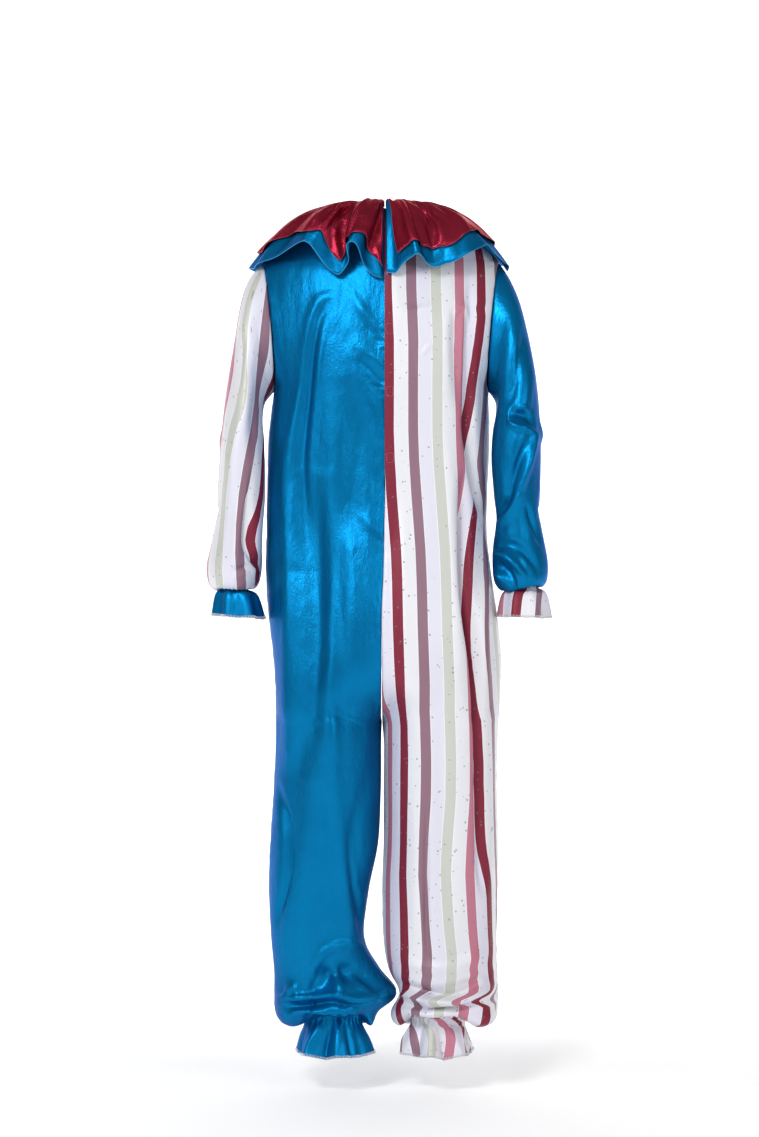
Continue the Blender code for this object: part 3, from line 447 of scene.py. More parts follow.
CREASES["sleeve_right"] = {"back": [
    (15, [(206, -160, 0), (207, -222, 5), (205, -288, 6), (200, -345, 0)]),
    (12, [(246, -200, 0), (241, -246, -8), (231, -283, -9), (218, -335, -7), (210, -362, 0)]),
    (12, [(258, -250, 0), (256, -300, 5), (250, -340, 4), (244, -356, 0)]),
    (8, [(216, -362, 0), (226, -365, -9), (241, -368, -11), (256, -374, -8), (268, -384, 0)]),
    (5, [(212, -372, 0), (218, -381, 6), (231, -388, 8), (251, -391, 8), (264, -398, 5), (272, -404, 0)]),
    (4, [(222, -366, 0), (229, -358, 3), (243, -355, 4), (258, -361, 0)]),
    (8, [(268, -392, 0), (262, -410, 9), (252, -443, 11), (241, -477, 10), (231, -506, 8), (222, -528, 0)]),
    (9, [(256, -404, 0), (244, -425, -7), (234, -448, -9), (224, -478, -8), (214, -506, 0)]),
    (8, [(196, -542, -12), (208, -526, -11), (220, -506, -7), (228, -488, 0)]),
    (7, [(194, -566, 6), (206, -552, 8), (216, -538, 8), (228, -518, 6), (236, -500, 0)]),
    (6, [(248, -520, 0), (254, -538, -5), (264, -560, -7), (274, -584, -4), (280, -600, 0)]),
    (9, [(190, -592, -4), (218, -594, -7), (244, -606, -8), (262, -622, -5), (276, -638, 0)]),
    (6, [(188, -612, 6), (200, -609, 9), (214, -613, 11), (226, -625, 11), (236, -637, 8), (250, -650, 0)]),
    (7, [(192, -626, -6), (204, -634, -12), (215, -645, -12), (224, -657, -8), (232, -664, 0)]),
    (5, [(194, -642, 0), (203, -648, 8), (212, -655, 0)]),
], "right": [
    (12, [(-70, -380, 0), (-30, -404, 6), (10, -420, 0)]),
    (12, [(-70, -520, 0), (-30, -540, -6), (10, -530, 0)]),
]}


def crease_push(points, facing, creases, along):
    """The displacement of all creases: each one's height times the surface normal, plus its lean along the row. The
    height is the smooth curve through the path's heights, times a bell of the distance from the path's own curve."""
    push = np.zeros(points.shape)
    for view, (width, path, *lean) in ((view, row) for view, rows in creases.items() for row in rows):
        axis, sign = VIEWS[view]
        across, level = points[:, :, 1 - axis] / MM, points[:, :, 2] / MM
        a, z, height = np.array(path, float).T
        upright = abs(z[-1] - z[0]) > abs(a[-1] - a[0])
        run, cross, nodes, line = (-level, across, -z, a) if upright else (across, level, a, z)
        if nodes[0] > nodes[-1]:
            nodes, line, height = nodes[::-1], line[::-1], height[::-1]
        at = np.interp(run, nodes, np.arange(len(nodes)))
        middle = smooth(line, at)
        slope = (smooth(line, np.interp(run + SLOPE_STEP, nodes, np.arange(len(nodes)))) - middle) / SLOPE_STEP
        off = (cross - middle) / np.sqrt(1 + slope**2)
        inside = (run >= nodes[0] - width) & (run <= nodes[-1] + width)
        here = smooth(height, at) * bell(off, width) * inside * ease(FACING_TURN * sign * facing[:, :, axis])
        push += here[:, :, None] * (facing - sum(lean) * along * np.sign(sign))
    return push * MM


# ---------------------------------------------------------------------------------------------------- body panels
SECTION = read_table(SECTIONS.values(), SECTION_COLUMNS)
ROW_NUMBER = {name: i for i, name in enumerate(SECTIONS)}
SHOULDER, ARMPIT = ROW_NUMBER["shoulder"], ROW_NUMBER["armpit"]
WAVE_HEIGHTS = [LEG_WAVES.get(name, 0.0) for name in SECTIONS]
LIFTS = [POOL_LIFTS.get(name, 0.0) for name in SECTIONS]
DENSE_V = np.linspace(0, ROW_NUMBER["seat"], ARMHOLE_STEPS)
DENSE_Z = smooth(SECTION["z"], DENSE_V)
FORK_MIDDLE = -890  # height of the bend, in mm
FORK_SPREAD = 78  # mm above and below it
FORK_REACH = 72  # mm over which it is evened out
FORK_EDGE = 0.12  # share of the width over which that fades in
CALM_FROM = 0.72  # share of a panel's width from which it keeps its own edge
CALM_ROWS = 2.2  # section rows over which the rest is evened out
CALM_END, CALM_FADE = 11, 1.5  # section row at which that starts to end, and rows over which it does


def armhole(side, angle):
    """The armhole ellipse at an angle from the shoulder point (0) to the armpit (pi): x, share of depth, z, in mm."""
    edge = SECTION["left" if side < 0 else "right"]
    top = np.array([edge[SHOULDER], SECTION["z"][SHOULDER]])
    low = np.array([edge[ARMPIT], SECTION["z"][ARMPIT]])
    middle, half = (top + low) / 2, (top - low) / 2
    x = middle[0] + half[0] * np.cos(angle) - side * ARMHOLE_LEAN * np.sin(angle)
    return x, np.sin(angle), middle[1] + half[1] * np.cos(angle)


def pool_lift(face, v, s):
    """How far a back panel's pooled cloth is drawn up, in mm: most at mid width, and nothing at its two edges."""
    gone, fall = LIFT_FALL
    return (face < 0) * smooth(LIFTS, v) * ease(s / LIFT_RISE) * ease((gone - s) / fall)


def opening_lap(side, face, z):
    """How far a back panel's centre edge runs past the seam, in mm."""
    if face > 0:
        return 0 * z
    open_here = ease((z - OPENING_END) / OPENING_FADE) * ease((OPENING_TOP[0] - z) / OPENING_TOP[1])
    return (UNDERLAP if side < 0 else OVERLAP) * open_here


def opening_raise(x, z):
    """How far the striped edge stands off the underlap, in metres, at a place in mm."""
    along = ease((z - OPENING_END + OPENING_FADE) / OPENING_FADE) * ease(z / OPENING_TOP[0])
    return OVERLAP_RAISE * MM * along * (1 - ease((x - RAISED_TO) / RAISE_WIDTH))


def body_surface(side, face, v, s):
    """A body panel: row number v runs down the sections and s from the inner edge (0) to the outer edge (1). Each
    row is part of a superellipse, x = middle + half cos^p, y = depth sin^p, from the centre seam or, once the half
    has wrapped into a leg, the inseam, to the side seam or, between shoulder and armpit, the armhole."""
    v = np.asarray(v, float)[:, None]
    in_armhole = (v > SHOULDER) & (v < ARMPIT)
    hole_x, hole_depth, hole_z = armhole(side, np.pi * np.clip((v - SHOULDER) / (ARMPIT - SHOULDER), 0, 1))
    level_v = np.where(in_armhole, np.interp(-hole_z, -DENSE_Z, DENSE_V), v)
    read = {name: smooth(values, level_v) for name, values in SECTION.items()}
    inner = read["in_left" if side < 0 else "in_right"]
    outer = read["left" if side < 0 else "right"]
    depth = read["back" if face < 0 else "front"]
    outer = np.where(in_armhole, hole_x, outer)
    z = np.where(in_armhole, hole_z, read["z"])
    wrap = np.clip(read["wrap"], 0, 1)
    power = read["square"]
    share = hole_depth * (ARMHOLE_BACK if face < 0 else ARMHOLE_FRONT) / np.abs(depth)
    last = np.where(in_armhole, np.arcsin(share ** (1 / power)), 0)
    first = (np.pi / 2) * (1 + wrap)
    reach = np.abs(np.cos(first)) ** power
    half = (outer - inner) / (np.cos(last) ** power + reach)
    calm = half + (blurred(half, v) - half) * (1 - ease((s - CALM_FROM) / (1 - CALM_FROM)))
    past = np.arcsin((opening_lap(side, face, z) / np.abs(half)) ** (1 / power))
    theta = first + past + (last - first - past) * s
    x = inner + half * reach + calm * np.sign(np.cos(theta)) * np.abs(np.cos(theta)) ** power
    y = read["side_y"] + (depth - read["side_y"]) * np.abs(np.sin(theta)) ** power
    return np.stack([x, y, z + pool_lift(face, v, s)], axis=2) * MM


def panel_base(side, face, v, s):
    """The panel with its sharp bend under the seat evened out: a Hann window's mean down the columns about the
    crotch's height, fading in away from the centre seam and the inseam, which keep their line."""
    points = body_surface(side, face, v, s)
    span = int(FORK_REACH / (points[0, -1, 2] - points[-1, -1, 2]) * MM * len(points))
    window = np.hanning(2 * span + 3)[1:-1]
    padded = np.pad(points, ((span, span), (0, 0), (0, 0)), mode="edge")
    even = sum(weight * padded[k:k + len(points)] for k, weight in enumerate(window / window.sum()))
    here = bell(points[:, :, 2] / MM - FORK_MIDDLE, FORK_SPREAD) * ease(s / FORK_EDGE)
    return points + here[:, :, None] * (even - points)


def blurred(half, v):
    """The half width with its sharp changes by the armhole evened out down the panel, by a Hann window's mean."""
    span = 2 * int(CALM_ROWS * len(half) / 2 / (v[-1, 0] - v[0, 0])) + 1
    window = np.hanning(span + 2)[1:-1]
    padded = np.pad(half[:, 0], span // 2, mode="edge")
    even = np.convolve(padded, window / window.sum(), mode="valid")[:, None]
    torso = 1 - ease((v - CALM_END) / CALM_FADE)
    return half + (even - half) * torso


def panel_facing(side, points, v, wrap):
    """Outward normals of a body panel, made to agree with its neighbours' at the side seam, the inseam and the
    centre seam, where the sections run square to the seam's plane."""
    centre = points.mean(axis=1, keepdims=True)
    centre[:, :, 0] = points[:, -1:, 0] / 2
    centre[:, :, 1] = 0
    found, turn = outwards(points, centre)
    found[(v <= SHOULDER) | (v >= ARMPIT), -1, 1] = 0
    found[wrap >= 1, 0, 1] = 0
    found[wrap <= 0, 0, 0] = 0
    return found / np.linalg.norm(found, axis=2, keepdims=True), turn


# Natural unevenness of hanging satin: (cell across, cell along, height), in mm, from broad swags to small ripples.
UNEVEN = [(70, 260, 2.4), (34, 150, 1.1), (15, 75, 0.45), (7, 30, 0.10)]
SEAM_DIP = 1.1  # mm by which the cloth sinks into a seam
SEAM_WIDTH = 2.6  # mm
PUCKER = (9, 0.5)  # mm along a seam from one pucker to the next, and their height
PUCKER_REACH = 14  # mm from the seam
PUCKER_MIDDLE = 4  # mm from the seam to where they stand highest
WAVE_EDGE = 24  # mm from a seam over which the leg's waves grow
UNEVEN_EDGE = 30  # mm from a seam over which the unevenness grows
ANKLE_GATHERS = 15  # across each panel, drawn up by the ankle elastic
ANKLE_GATHER = 2.2  # mm
GATHER_REACH = 1.5  # section rows to each side of the elastic over which they die out
GATHER_EDGE = 12  # mm from a seam over which they grow
GATHER_WANDER = (1.6, (26, 30))  # radians by which they wander, and over what cells in mm
GRID_PASSES = 2  # times that a panel's columns are spread evenly over its folds
SPREAD_ROWS = 9  # rows over which that spreading is evened out


def dressed_panel(name, side, face, v, s):
    """A body panel's points with its creases, leg waves, unevenness, puckers, ankle gathers, seam dips and, on the
    striped back, the raised edge of the opening. All heights add up along the normal of the plain panel."""
    base = panel_base(side, face, v, s)
    wrap = np.clip(smooth(SECTION["wrap"], v), 0, 1)
    facing, turn = panel_facing(side, base, v, wrap)
    along = np.gradient(base, axis=1)
    along /= np.maximum(np.linalg.norm(along, axis=2, keepdims=True), 1e-9)
    along *= np.sign(along[:, :, :1] + 1e-12)
    points = base + crease_push(base, facing, CREASES[name], along)
    waves = smooth(WAVE_HEIGHTS, v)[:, None]
    uneven = s + WAVE_DRIFT * np.sin(2 * np.pi * s + WAVE_SHIFT * side)
    arc = arc_along(base) / MM
    level = base[:, :, 2] / MM
    from_edge = np.minimum(arc, arc[:, -1:] - arc)
    height = -face * waves * np.sin(HALF_WAVES * np.pi * uneven) * ease(from_edge / WAVE_EDGE)
    seed = PANEL_SEED + 2 * (side > 0) + (face > 0)
    for k, (across, down, rise) in enumerate(UNEVEN):
        height += rise * drift(seed + 4 * k, arc, -level, (across, down)) * ease(from_edge / UNEVEN_EDGE)
    puckers = PUCKER[1] * drift(seed + PUCKER_SEED, arc, -level, (PUCKER_REACH, PUCKER[0]))
    height += puckers * bell(from_edge - PUCKER_MIDDLE, PUCKER_REACH / 2)
    near = ease(1 - np.abs(v - ROW_NUMBER["casing"]) / GATHER_REACH)[:, None]
    tight = ANKLE_GATHER * near * ease(from_edge / GATHER_EDGE)
    wander, cells = GATHER_WANDER
    phase = wander * drift(seed + GATHER_SEED, arc, -level, cells)
    height += tight * np.sin(2 * np.pi * ANKLE_GATHERS * s + phase)
    height -= SEAM_DIP * bell(from_edge, SEAM_WIDTH) * (~lapped(face, v, s))
    points += facing * (height * MM)[:, :, None]
    if side > 0 and face < 0:
        points += facing * opening_raise(base[:, :, 0] / MM, level)[:, :, None]
    return points, turn


def lapped(face, v, s):
    """True along the centre edge of the two backs where the opening laps, so that no seam sinks there."""
    z = smooth(SECTION["z"], v)[:, None]
    return (face < 0) & (s < 0.5) & (z > OPENING_END) & (z < 0)


def even_rows(step):
    """Row numbers at even distances down the middle of the blue back."""
    dense = np.linspace(0, len(SECTIONS) - 1, PANEL_STEPS)
    line = body_surface(-1, -1, dense, np.array([[0.5]]))[:, 0]
    run = run_along(line)
    return np.interp(np.linspace(0, run[-1], int(run[-1] / step)), run, dense)


def even_columns(points, s):
    """The same panel's column values, moved along each row so that the dressed columns lie evenly on the cloth."""
    arc = arc_along(points)
    even = np.linspace(0, 1, s.shape[1])
    moved = np.array([np.interp(even * row[-1], row, place) for row, place in zip(arc, s)])
    kernel = np.hanning(SPREAD_ROWS) / np.hanning(SPREAD_ROWS).sum()
    padded = np.pad(moved, ((SPREAD_ROWS // 2, SPREAD_ROWS // 2), (0, 0)), mode="edge")
    return sum(weight * padded[k:k + len(moved)] for k, weight in enumerate(kernel))


def grain(side, points, base):
    """UV of a body panel in metres: u is the distance along the row from a line down the mauve band's edge, so that
    the stripes stay as wide as they were printed wherever the cloth folds, and v is the height."""
    arc = arc_along(points)
    line = np.array(GRAIN_LINE[::-1], float)
    middle = base.shape[1] // 2
    zero_x = np.interp(base[:, middle, 2] / MM, line[:, 0], line[:, 1]) * MM
    rising = np.maximum.accumulate(side * base[:, :, 0], axis=1)
    zero = np.array([np.interp(x, row, run) for row, x, run in zip(rising, zero_x, arc)])
    band = GRAIN_BAND * STRIPE_STEP * MM
    return np.stack([side * (arc - zero[:, None]) + band, points[:, :, 2]], axis=2)


def build_panel(name, side, face, colour, step, columns, flat):
    """A body panel as cloth: rows at even distances, columns spread evenly over the folds, stripes along its cut."""
    v = even_rows(step)
    s = np.linspace(0, 1, columns + 1)[None, :] + 0 * v[:, None]
    for _ in range(GRID_PASSES):
        s = even_columns(dressed_panel(name, side, face, v, s)[0], s)
    points, turn = dressed_panel(name, side, face, v, s)
    uv = grain(side, points, panel_base(side, face, v, s))
    half = "left" if side < 0 else "right"
    node = f"{'back' if face < 0 else 'front'}_{half}"
    made = cloth(f"{node}_cloth", points, turn, uv, colour)
    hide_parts(node)
    return points


# -------------------------------------------------------------------------------------------------- sleeves, cuffs
def ring_points(rings, t, angle, lean=0.0):
    """A sleeve or a cuff: ring number t and the angle from its outermost point over the back to its innermost point
    and on over the front. Each ring is an ellipse in its own slanted plane."""
    table = read_table(rings.values(), RING_COLUMNS)
    t = np.asarray(t, float)[:, None]
    read = {name: smooth(values, t) for name, values in table.items()}
    side = np.sign(table["out_x"][0])
    c, s = np.cos(angle)[None, :], np.sin(angle)[None, :]
    leaning = side * lean * np.clip(1 - t, 0, 1) * np.abs(s)
    x = (read["out_x"] + read["in_x"]) / 2 + (read["out_x"] - read["in_x"]) / 2 * c - leaning
    z = (read["out_z"] + read["in_z"]) / 2 + (read["out_z"] - read["in_z"]) / 2 * c
    y = read["mid_y"] - np.where(s > 0, read["back"], read["front"]) * s
    return np.stack([x, y, z], axis=2) * MM


SLEEVE_FADE = 3  # rings from the armhole over which creases and unevenness grow
WRIST_GATHERS = 26
WRIST_GATHER = 1.6  # mm
WRIST_REACH = 1.6  # rings over which the gathers die out above the elastic
WRIST_WANDER = (2.2, 12, 60)  # radians by which they wander, and over what cells: how many round and mm down
CUFF_GATHER = 0.9  # mm
# Unevenness of a sleeve and of a cuff: (cells round, mm down to a cell, height in mm).
SLEEVE_UNEVEN = [(8, 90, 2.6), (16, 46, 1.2), (36, 26, 0.4)]
CUFF_UNEVEN = [(12, 40, 2.2), (30, 30, 0.7)]
CUFF_DOWN = 60  # mm down a cuff, as its unevenness counts them
CUFF_DEPTH = 70 * MM  # the same, as its weave does


def build_sleeve(name, rings, colour):
    """A sleeve's points: its rings on a fine grid, with creases, unevenness and the gathers over the elastic, which
    are sine waves round the ring that die out up the sleeve."""
    last = len(rings) - 1
    dense = np.linspace(0, last, SLEEVE_STEPS)
    line = ring_points(rings, dense, np.array([np.pi / 2]))[:, 0]
    run = run_along(line)
    t = np.interp(np.linspace(0, run[-1], SLEEVE_ROWS), run, dense)
    angle = np.linspace(-np.pi, np.pi, SLEEVE_COLUMNS, endpoint=False)
    base = ring_points(rings, t, angle, ARMHOLE_LEAN)
    centre = base.mean(axis=1, keepdims=True)
    facing, turn = outwards(base, centre, closed=True)
    along = np.roll(base, -1, axis=1) - np.roll(base, 1, axis=1)
    along /= np.linalg.norm(along, axis=2, keepdims=True)
    along *= np.sign(along[:, :, :1] + 1e-12)
    fade = ease(t / SLEEVE_FADE)[:, None]
    points = base + crease_push(base, facing, CREASES[name], along) * fade[:, :, None]
    around = angle[None, :] / (2 * np.pi) + 0 * t[:, None]
    down = np.interp(t, dense, run)[:, None] / MM
    seed = SLEEVE_SEEDS[name]
    height = np.zeros(around.shape)
    for k, (cells, tall, rise) in enumerate(SLEEVE_UNEVEN):
        height += rise * drift(seed + k, around, down, (1 / cells, tall), around=cells)
    height *= fade
    gather = WRIST_GATHER * ease(1 - (last - t[:, None]) / (2 * WRIST_REACH))
    wander, cells, tall = WRIST_WANDER
    phase = wander * drift(seed + 3, around, down, (1 / cells, tall), around=cells)
    height += gather * np.sin(WRIST_GATHERS * angle[None, :] + phase)
    height -= SEAM_DIP * bell(down, SEAM_WIDTH)
    points += facing * (height * MM)[:, :, None]
    made = cloth(f"{name}_cloth", points, turn, sleeve_grain(points, down), colour, closed=True)
    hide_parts(name)
    return points


def sleeve_grain(points, down):
    """UV of a sleeve in metres: u is the distance round it square to the way its stripes run, from a line down the
    back; each step round a ring counts by what is left of it after its share along the axis."""
    axis = np.array(SLEEVE_AXIS) / np.linalg.norm(SLEEVE_AXIS)
    step = np.roll(points, -1, axis=1) - points
    along = step @ axis
    across = np.sqrt(np.maximum(np.sum(step**2, axis=2) - along**2, 0))
    arc = np.concatenate([np.zeros((len(points), 1)), np.cumsum(across, axis=1)], axis=1)
    line = np.array(SLEEVE_GRAIN_LINE[::-1], float) * MM
    half = points.shape[1] // 2
    back = points[:, half:]
    beyond = np.maximum.accumulate(back[:, :, 0] - np.interp(back[:, :, 2], line[:, 0], line[:, 1]), axis=1)
    zero = np.array([np.interp(0, row, run[half:half + len(row)]) for row, run in zip(beyond, arc)])
    band = (GRAIN_BAND * STRIPE_STEP + STRIPE_BAND) * MM
    return np.stack([zero[:, None] - arc + band, np.repeat(-down * MM, arc.shape[1], axis=1)], axis=2)


def build_cuff(name, rings, colour, zero_angle):
    """A flared cuff: its rings on a fine grid, with waves that grow towards the hem and small gathers at the top."""
    t = np.linspace(0, len(rings) - 1, CUFF_ROWS)
    angle = np.linspace(0, 2 * np.pi, CUFF_COLUMNS, endpoint=False)
    base = ring_points(rings, t, angle)
    facing, turn = outwards(base, base.mean(axis=1, keepdims=True), closed=True)
    grow = (t / t[-1])[:, None]
    around = angle[None, :] / (2 * np.pi) + 0 * t[:, None]
    seed = CUFF_SEEDS[name]
    height = CUFF_WAVE / MM * grow * np.sin(CUFF_WAVES * angle)[None, :]
    broad, small = (rise * drift(seed + k, around, grow * CUFF_DOWN, (1 / cells, tall), around=cells)
                    for k, (cells, tall, rise) in enumerate(CUFF_UNEVEN))
    height += grow * broad
    height += CUFF_GATHER * (1 - grow) ** 2 * np.sin(WRIST_GATHERS * angle[None, :])
    height += small
    points = base + facing * (height * MM)[:, :, None]
    arc = np.linalg.norm(np.roll(points, -1, axis=1) - points, axis=2)
    arc = np.concatenate([np.zeros((len(t), 1)), np.cumsum(arc, axis=1)], axis=1)
    zero = np.array([np.interp(zero_angle, np.append(angle, 2 * np.pi), row) for row in arc])
    uv = np.stack([zero[:, None] - arc, np.repeat(-grow * CUFF_DEPTH, CUFF_COLUMNS + 1, axis=1)], axis=2)
    made = cloth(f"{name}_cloth", points, turn, uv, colour, closed=True)
    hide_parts(name)
    return points


# --------------------------------------------------------------------------------------------------------- collar
def neck_edge(turn, grow):
    """The neck seam's point in mm at a turn from centre back, grown outwards by a distance in mm."""
    angle = np.radians(turn)
    x, y = np.sin(angle), -np.cos(angle)
    wide = np.where(x > 0, SECTION["right"][0], -SECTION["left"][0]) + grow
    deep = np.where(y < 0, -SECTION["back"][0], SECTION["front"][0]) + grow
    return np.stack([wide * x, deep * y, SECTION["z"][0] + 0 * x], axis=-1)


def hem_row(turn):
    """The collar hem table's row number at a turn round the neck."""
    return np.interp(turn, np.array(COLLAR_HEM)[:, 0], np.arange(len(COLLAR_HEM)))


def collar_surface(turn, w):
    """The under layer: turn round the neck in degrees, and w from the neck seam (0) to the hem (1). Each thread down
    the collar is a parabola from the neck over an arch to the hem, with gathers that die out from the neck."""
    table = read_table(COLLAR_HEM, HEM_COLUMNS)
    hem = np.stack([smooth(table[name], hem_row(turn)) for name in ("x", "y", "z")], axis=-1)
    neck = neck_edge(turn, COLLAR_SEAM)
    neck[..., 2] += COLLAR_START
    over_shoulder = np.sin(np.radians(turn)) ** 2
    lower, nearer = (np.where(turn > 180, *pair) * over_shoulder for pair in (SIDE_RISE, SIDE_SPREAD))
    arch = neck + (COLLAR_SPREAD - nearer)[..., None] * (hem - neck)
    arch[..., 2] = COLLAR_RISE - lower
    w = w[..., None]
    points = (1 - w) ** 2 * neck + 2 * w * (1 - w) * arch + w**2 * hem
    gather = NECK_GATHER * np.sin(w * np.pi) * (1 - w) ** 2
    points[..., 2:] += gather * np.sin(np.radians(turn) * NECK_GATHERS)[..., None]
    return points * MM


# The collar's main folds: (width in degrees, [(turn, w, height in mm)…]) from the neck down, ridges above 0.
COLLAR_FOLDS = [
    (2.0, [(317, 0.1, 0), (316.4, 0.39, 4), (317.6, 0.52, 6), (316.4, 0.69, 6), (314.7, 0.80, 3), (314, 0.95, 0)]),
    (1.9, [(312.6, 0.35, 0), (312.4, 0.52, -4), (312.2, 0.63, -5), (312.9, 0.76, 0)]),
    (2.4, [(307.5, 0.58, 0), (308.4, 0.72, 4), (309, 0.90, 0)]),
    (2.2, [(325, 0.1, 0), (324.7, 0.38, -4), (321.4, 0.52, -8), (319.6, 0.64, -7), (319, 0.78, 0)]),
    (3.0, [(321, 0.5, 0), (321.5, 0.66, 4), (323.2, 0.78, 6), (327, 0.87, 6), (331, 0.96, 4), (332, 1.0, 3)]),
    (2.4, [(333, 0.3, 0), (333.5, 0.5, 4), (334, 0.68, 4), (334.5, 0.82, 0)]),
    (3.0, [(345.6, 0.2, 0), (345.4, 0.5, -6), (345.2, 0.7, -8), (343.6, 0.83, -9), (340.6, 0.94, -8), (338, 1.0, -5)]),
    (3.6, [(355.2, 0.1, 0), (354.6, 0.36, 7), (351.6, 0.6, 10), (349.7, 0.78, 10), (347, 0.92, 7), (345, 1.0, 4)]),
    (2.4, [(358.4, 0.2, 0), (358, 0.45, -4), (356.4, 0.62, -9), (354.6, 0.78, -9), (353.4, 0.91, -7), (352.6, 1, -3)]),
    (1.6, [(355.6, 0.74, 0), (357, 0.87, 6), (358.2, 0.95, 6), (358.6, 1.0, 4)]),
    (1.8, [(15.4, 0.2, 0), (15.7, 0.42, 5), (16.4, 0.6, 8), (16.9, 0.79, 9), (17.6, 0.91, 8), (18.2, 1.0, 6)]),
    (4.5, [(9, 0.2, 0), (9.4, 0.45, 2), (9.6, 0.65, 5), (10.2, 0.85, 5), (10.4, 1.0, 3)]),
    (2.6, [(19.4, 0.2, 0), (19.6, 0.45, -6), (20.2, 0.6, -10), (21.0, 0.76, -12), (22.6, 0.88, -9), (24.4, 1.0, -4)]),
    (2.6, [(24.6, 0.36, 0), (25.4, 0.48, 4), (28.4, 0.58, 4), (31.5, 0.64, 0)]),
    (4.0, [(40.0, 0.56, 0), (39.2, 0.70, 4), (36.5, 0.82, 5), (31.5, 0.92, 4), (29.0, 1.0, 2)]),
    (2.4, [(30.4, 0.40, 0), (31.4, 0.50, -4), (33.4, 0.60, -4), (34.4, 0.70, 0)]),
    (2.2, [(40.6, 0.44, 0), (40.8, 0.54, -5), (41.6, 0.62, 0)]),
    (4.0, [(58, 0.5, 0), (56, 0.7, 4), (53, 0.88, 5), (50, 1.0, 3)]),
    (4.0, [(66, 0.5, 0), (68, 0.72, -4), (70, 0.9, -4), (71, 1.0, -2)]),
    (5.0, [(296, 0.4, 0), (295, 0.62, -4), (293, 0.85, -4), (292, 1.0, -2)]),
    (5.0, [(284, 0.3, 0), (284, 0.6, 4), (284, 0.9, 4), (284, 1.0, 2)]),
]
# The same kind of folds over the shoulders and on the hidden front: (turn, height in mm), each some degrees wide.
FRONT_FOLDS = [(84, 5), (95, -1), (106, 5), (118, -7), (131, 7), (144, -7), (157, 7), (170, -8), (181, 8), (195, -8),
               (209, 7), (222, -7), (236, 6), (250, -6), (262, 5), (273, -5)]
FRONT_FOLD_WIDTH = 4.2  # degrees
FRONT_FOLD_GROWN = 0.5  # w from which it has its full height
FRONT_FOLD_SWAY = (3, 4)  # degrees by which a front fold sways, and radians of that from neck to hem
FINE_FOLDS = (34, 0.9)  # small folds round the whole collar, and their height in mm
SEAM_GATHERS = (52, 2.0)  # gathers at the neck seam, and their height in mm
FOLD_WANDER = (1.8, (24, 70))  # radians by which both wander, and over what cells: degrees round, % down
SOFT_FOLDS = (1.2, (11, 60))  # unevenness in mm, and its cells


def collar_folds(turn, w):
    """The main folds' height in mm: each one's height along w, times a bell of the turn from its own line."""
    height = np.zeros(np.broadcast(turn, w).shape)
    for width, path in COLLAR_FOLDS:
        line, depth, rise = np.array(path, float).T
        at = np.interp(w, depth, np.arange(len(depth)))
        height += np.where(w >= depth[0], smooth(rise, at), 0) * bell(turn - smooth(line, at), width)
    sway, bend = FRONT_FOLD_SWAY
    for middle, rise in FRONT_FOLDS:
        off = turn - middle - sway * np.sin(w * bend + middle)
        height += rise * bell(off, FRONT_FOLD_WIDTH) * ease(w / FRONT_FOLD_GROWN)
    return height


def radial_folds(turn, w, facing):
    """The collar's folds in metres along the wall's normal: the main ones listed, small sine waves that stand
    highest at mid height, close gathers that die out as a power of the distance to the hem, and unevenness."""
    turns = np.radians(turn)
    wander = FOLD_WANDER[0] * drift(FOLD_SEED, turn, w * 100, FOLD_WANDER[1])
    fine = FINE_FOLDS[1] * np.sin(FINE_FOLDS[0] * turns + wander) * np.sin(np.pi * np.clip(w * 1.15, 0, 1)) ** 1.2
    gathers = SEAM_GATHERS[1] * np.sin(SEAM_GATHERS[0] * turns + 2 * wander) * (1 - w) ** 2.5 * ease(w / 0.05)
    soft = SOFT_FOLDS[0] * drift(FOLD_SEED + 1, turn, w * 100, SOFT_FOLDS[1]) * ease(w / 0.3)
    return facing * ((collar_folds(turn, w) + fine + gathers + soft) * MM)[:, :, None]


def build_collar():
    """The two ruffles. The upper one lies over the under one, ends short of its hem and starts aslant at the split."""
    table = read_table(COLLAR_HEM, HEM_COLUMNS)
    first, last = table["turn"][0], table["turn"][-1]
    w = np.linspace(0, 1, COLLAR_ROWS + 1)[:, None]
    share = np.linspace(0, 1, COLLAR_COLUMNS + 1)[None, :]
    turn = first + (last - first) * share + 0 * w
    under = collar_surface(turn, w + 0 * turn)
    facing, side = outwards(under, COLLAR_INSIDE)
    under += radial_folds(turn, w + 0 * turn, facing)
    lower = cloth("collar_under_cloth", under, side, metre_uv(under), "blue")
    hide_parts("collar_under")
    slanted = first + COLLAR_SLANT * w
    turn = slanted + (last - slanted) * share
    reach = w * smooth(table["reach"], hem_row(turn))
    upper = collar_surface(turn, reach)
    facing, side = outwards(upper, COLLAR_INSIDE)
    upper += facing * (COLLAR_LAYER + COLLAR_LIFT * w)[:, :, None] * MM
    upper += radial_folds(turn, reach, facing)
    lifted = neck_edge(turn[0], COLLAR_SEAM) * MM
    lifted[:, 2] += (COLLAR_START + COLLAR_LAYER) * MM
    upper[0] = lifted
    top = cloth("collar_upper_cloth", upper, side, metre_uv(upper), "burgundy")
    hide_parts("collar_upper")
    return under, upper


def metre_uv(points):
    """UV in metres for a sheet without stripes: distance along its rows, and down its columns."""
    along = arc_along(points)
    down = arc_along(points.transpose(1, 0, 2)).T
    return np.stack([along, -down], axis=2)


# The band's profile: (mm out from the neck seam, mm up, share of the puckers there).
BAND_PROFILE = [(0.0, 0.9, 0), (0.3, 6.0, 0.3), (0.2, BAND_HEIGHT - 1.2, 0.6), (-0.5, BAND_HEIGHT, 1),
                (-1.2, BAND_HEIGHT - 1, 1)]
BAND_PUCKER = (64, 0.35)  # puckers round the band, and their height in mm


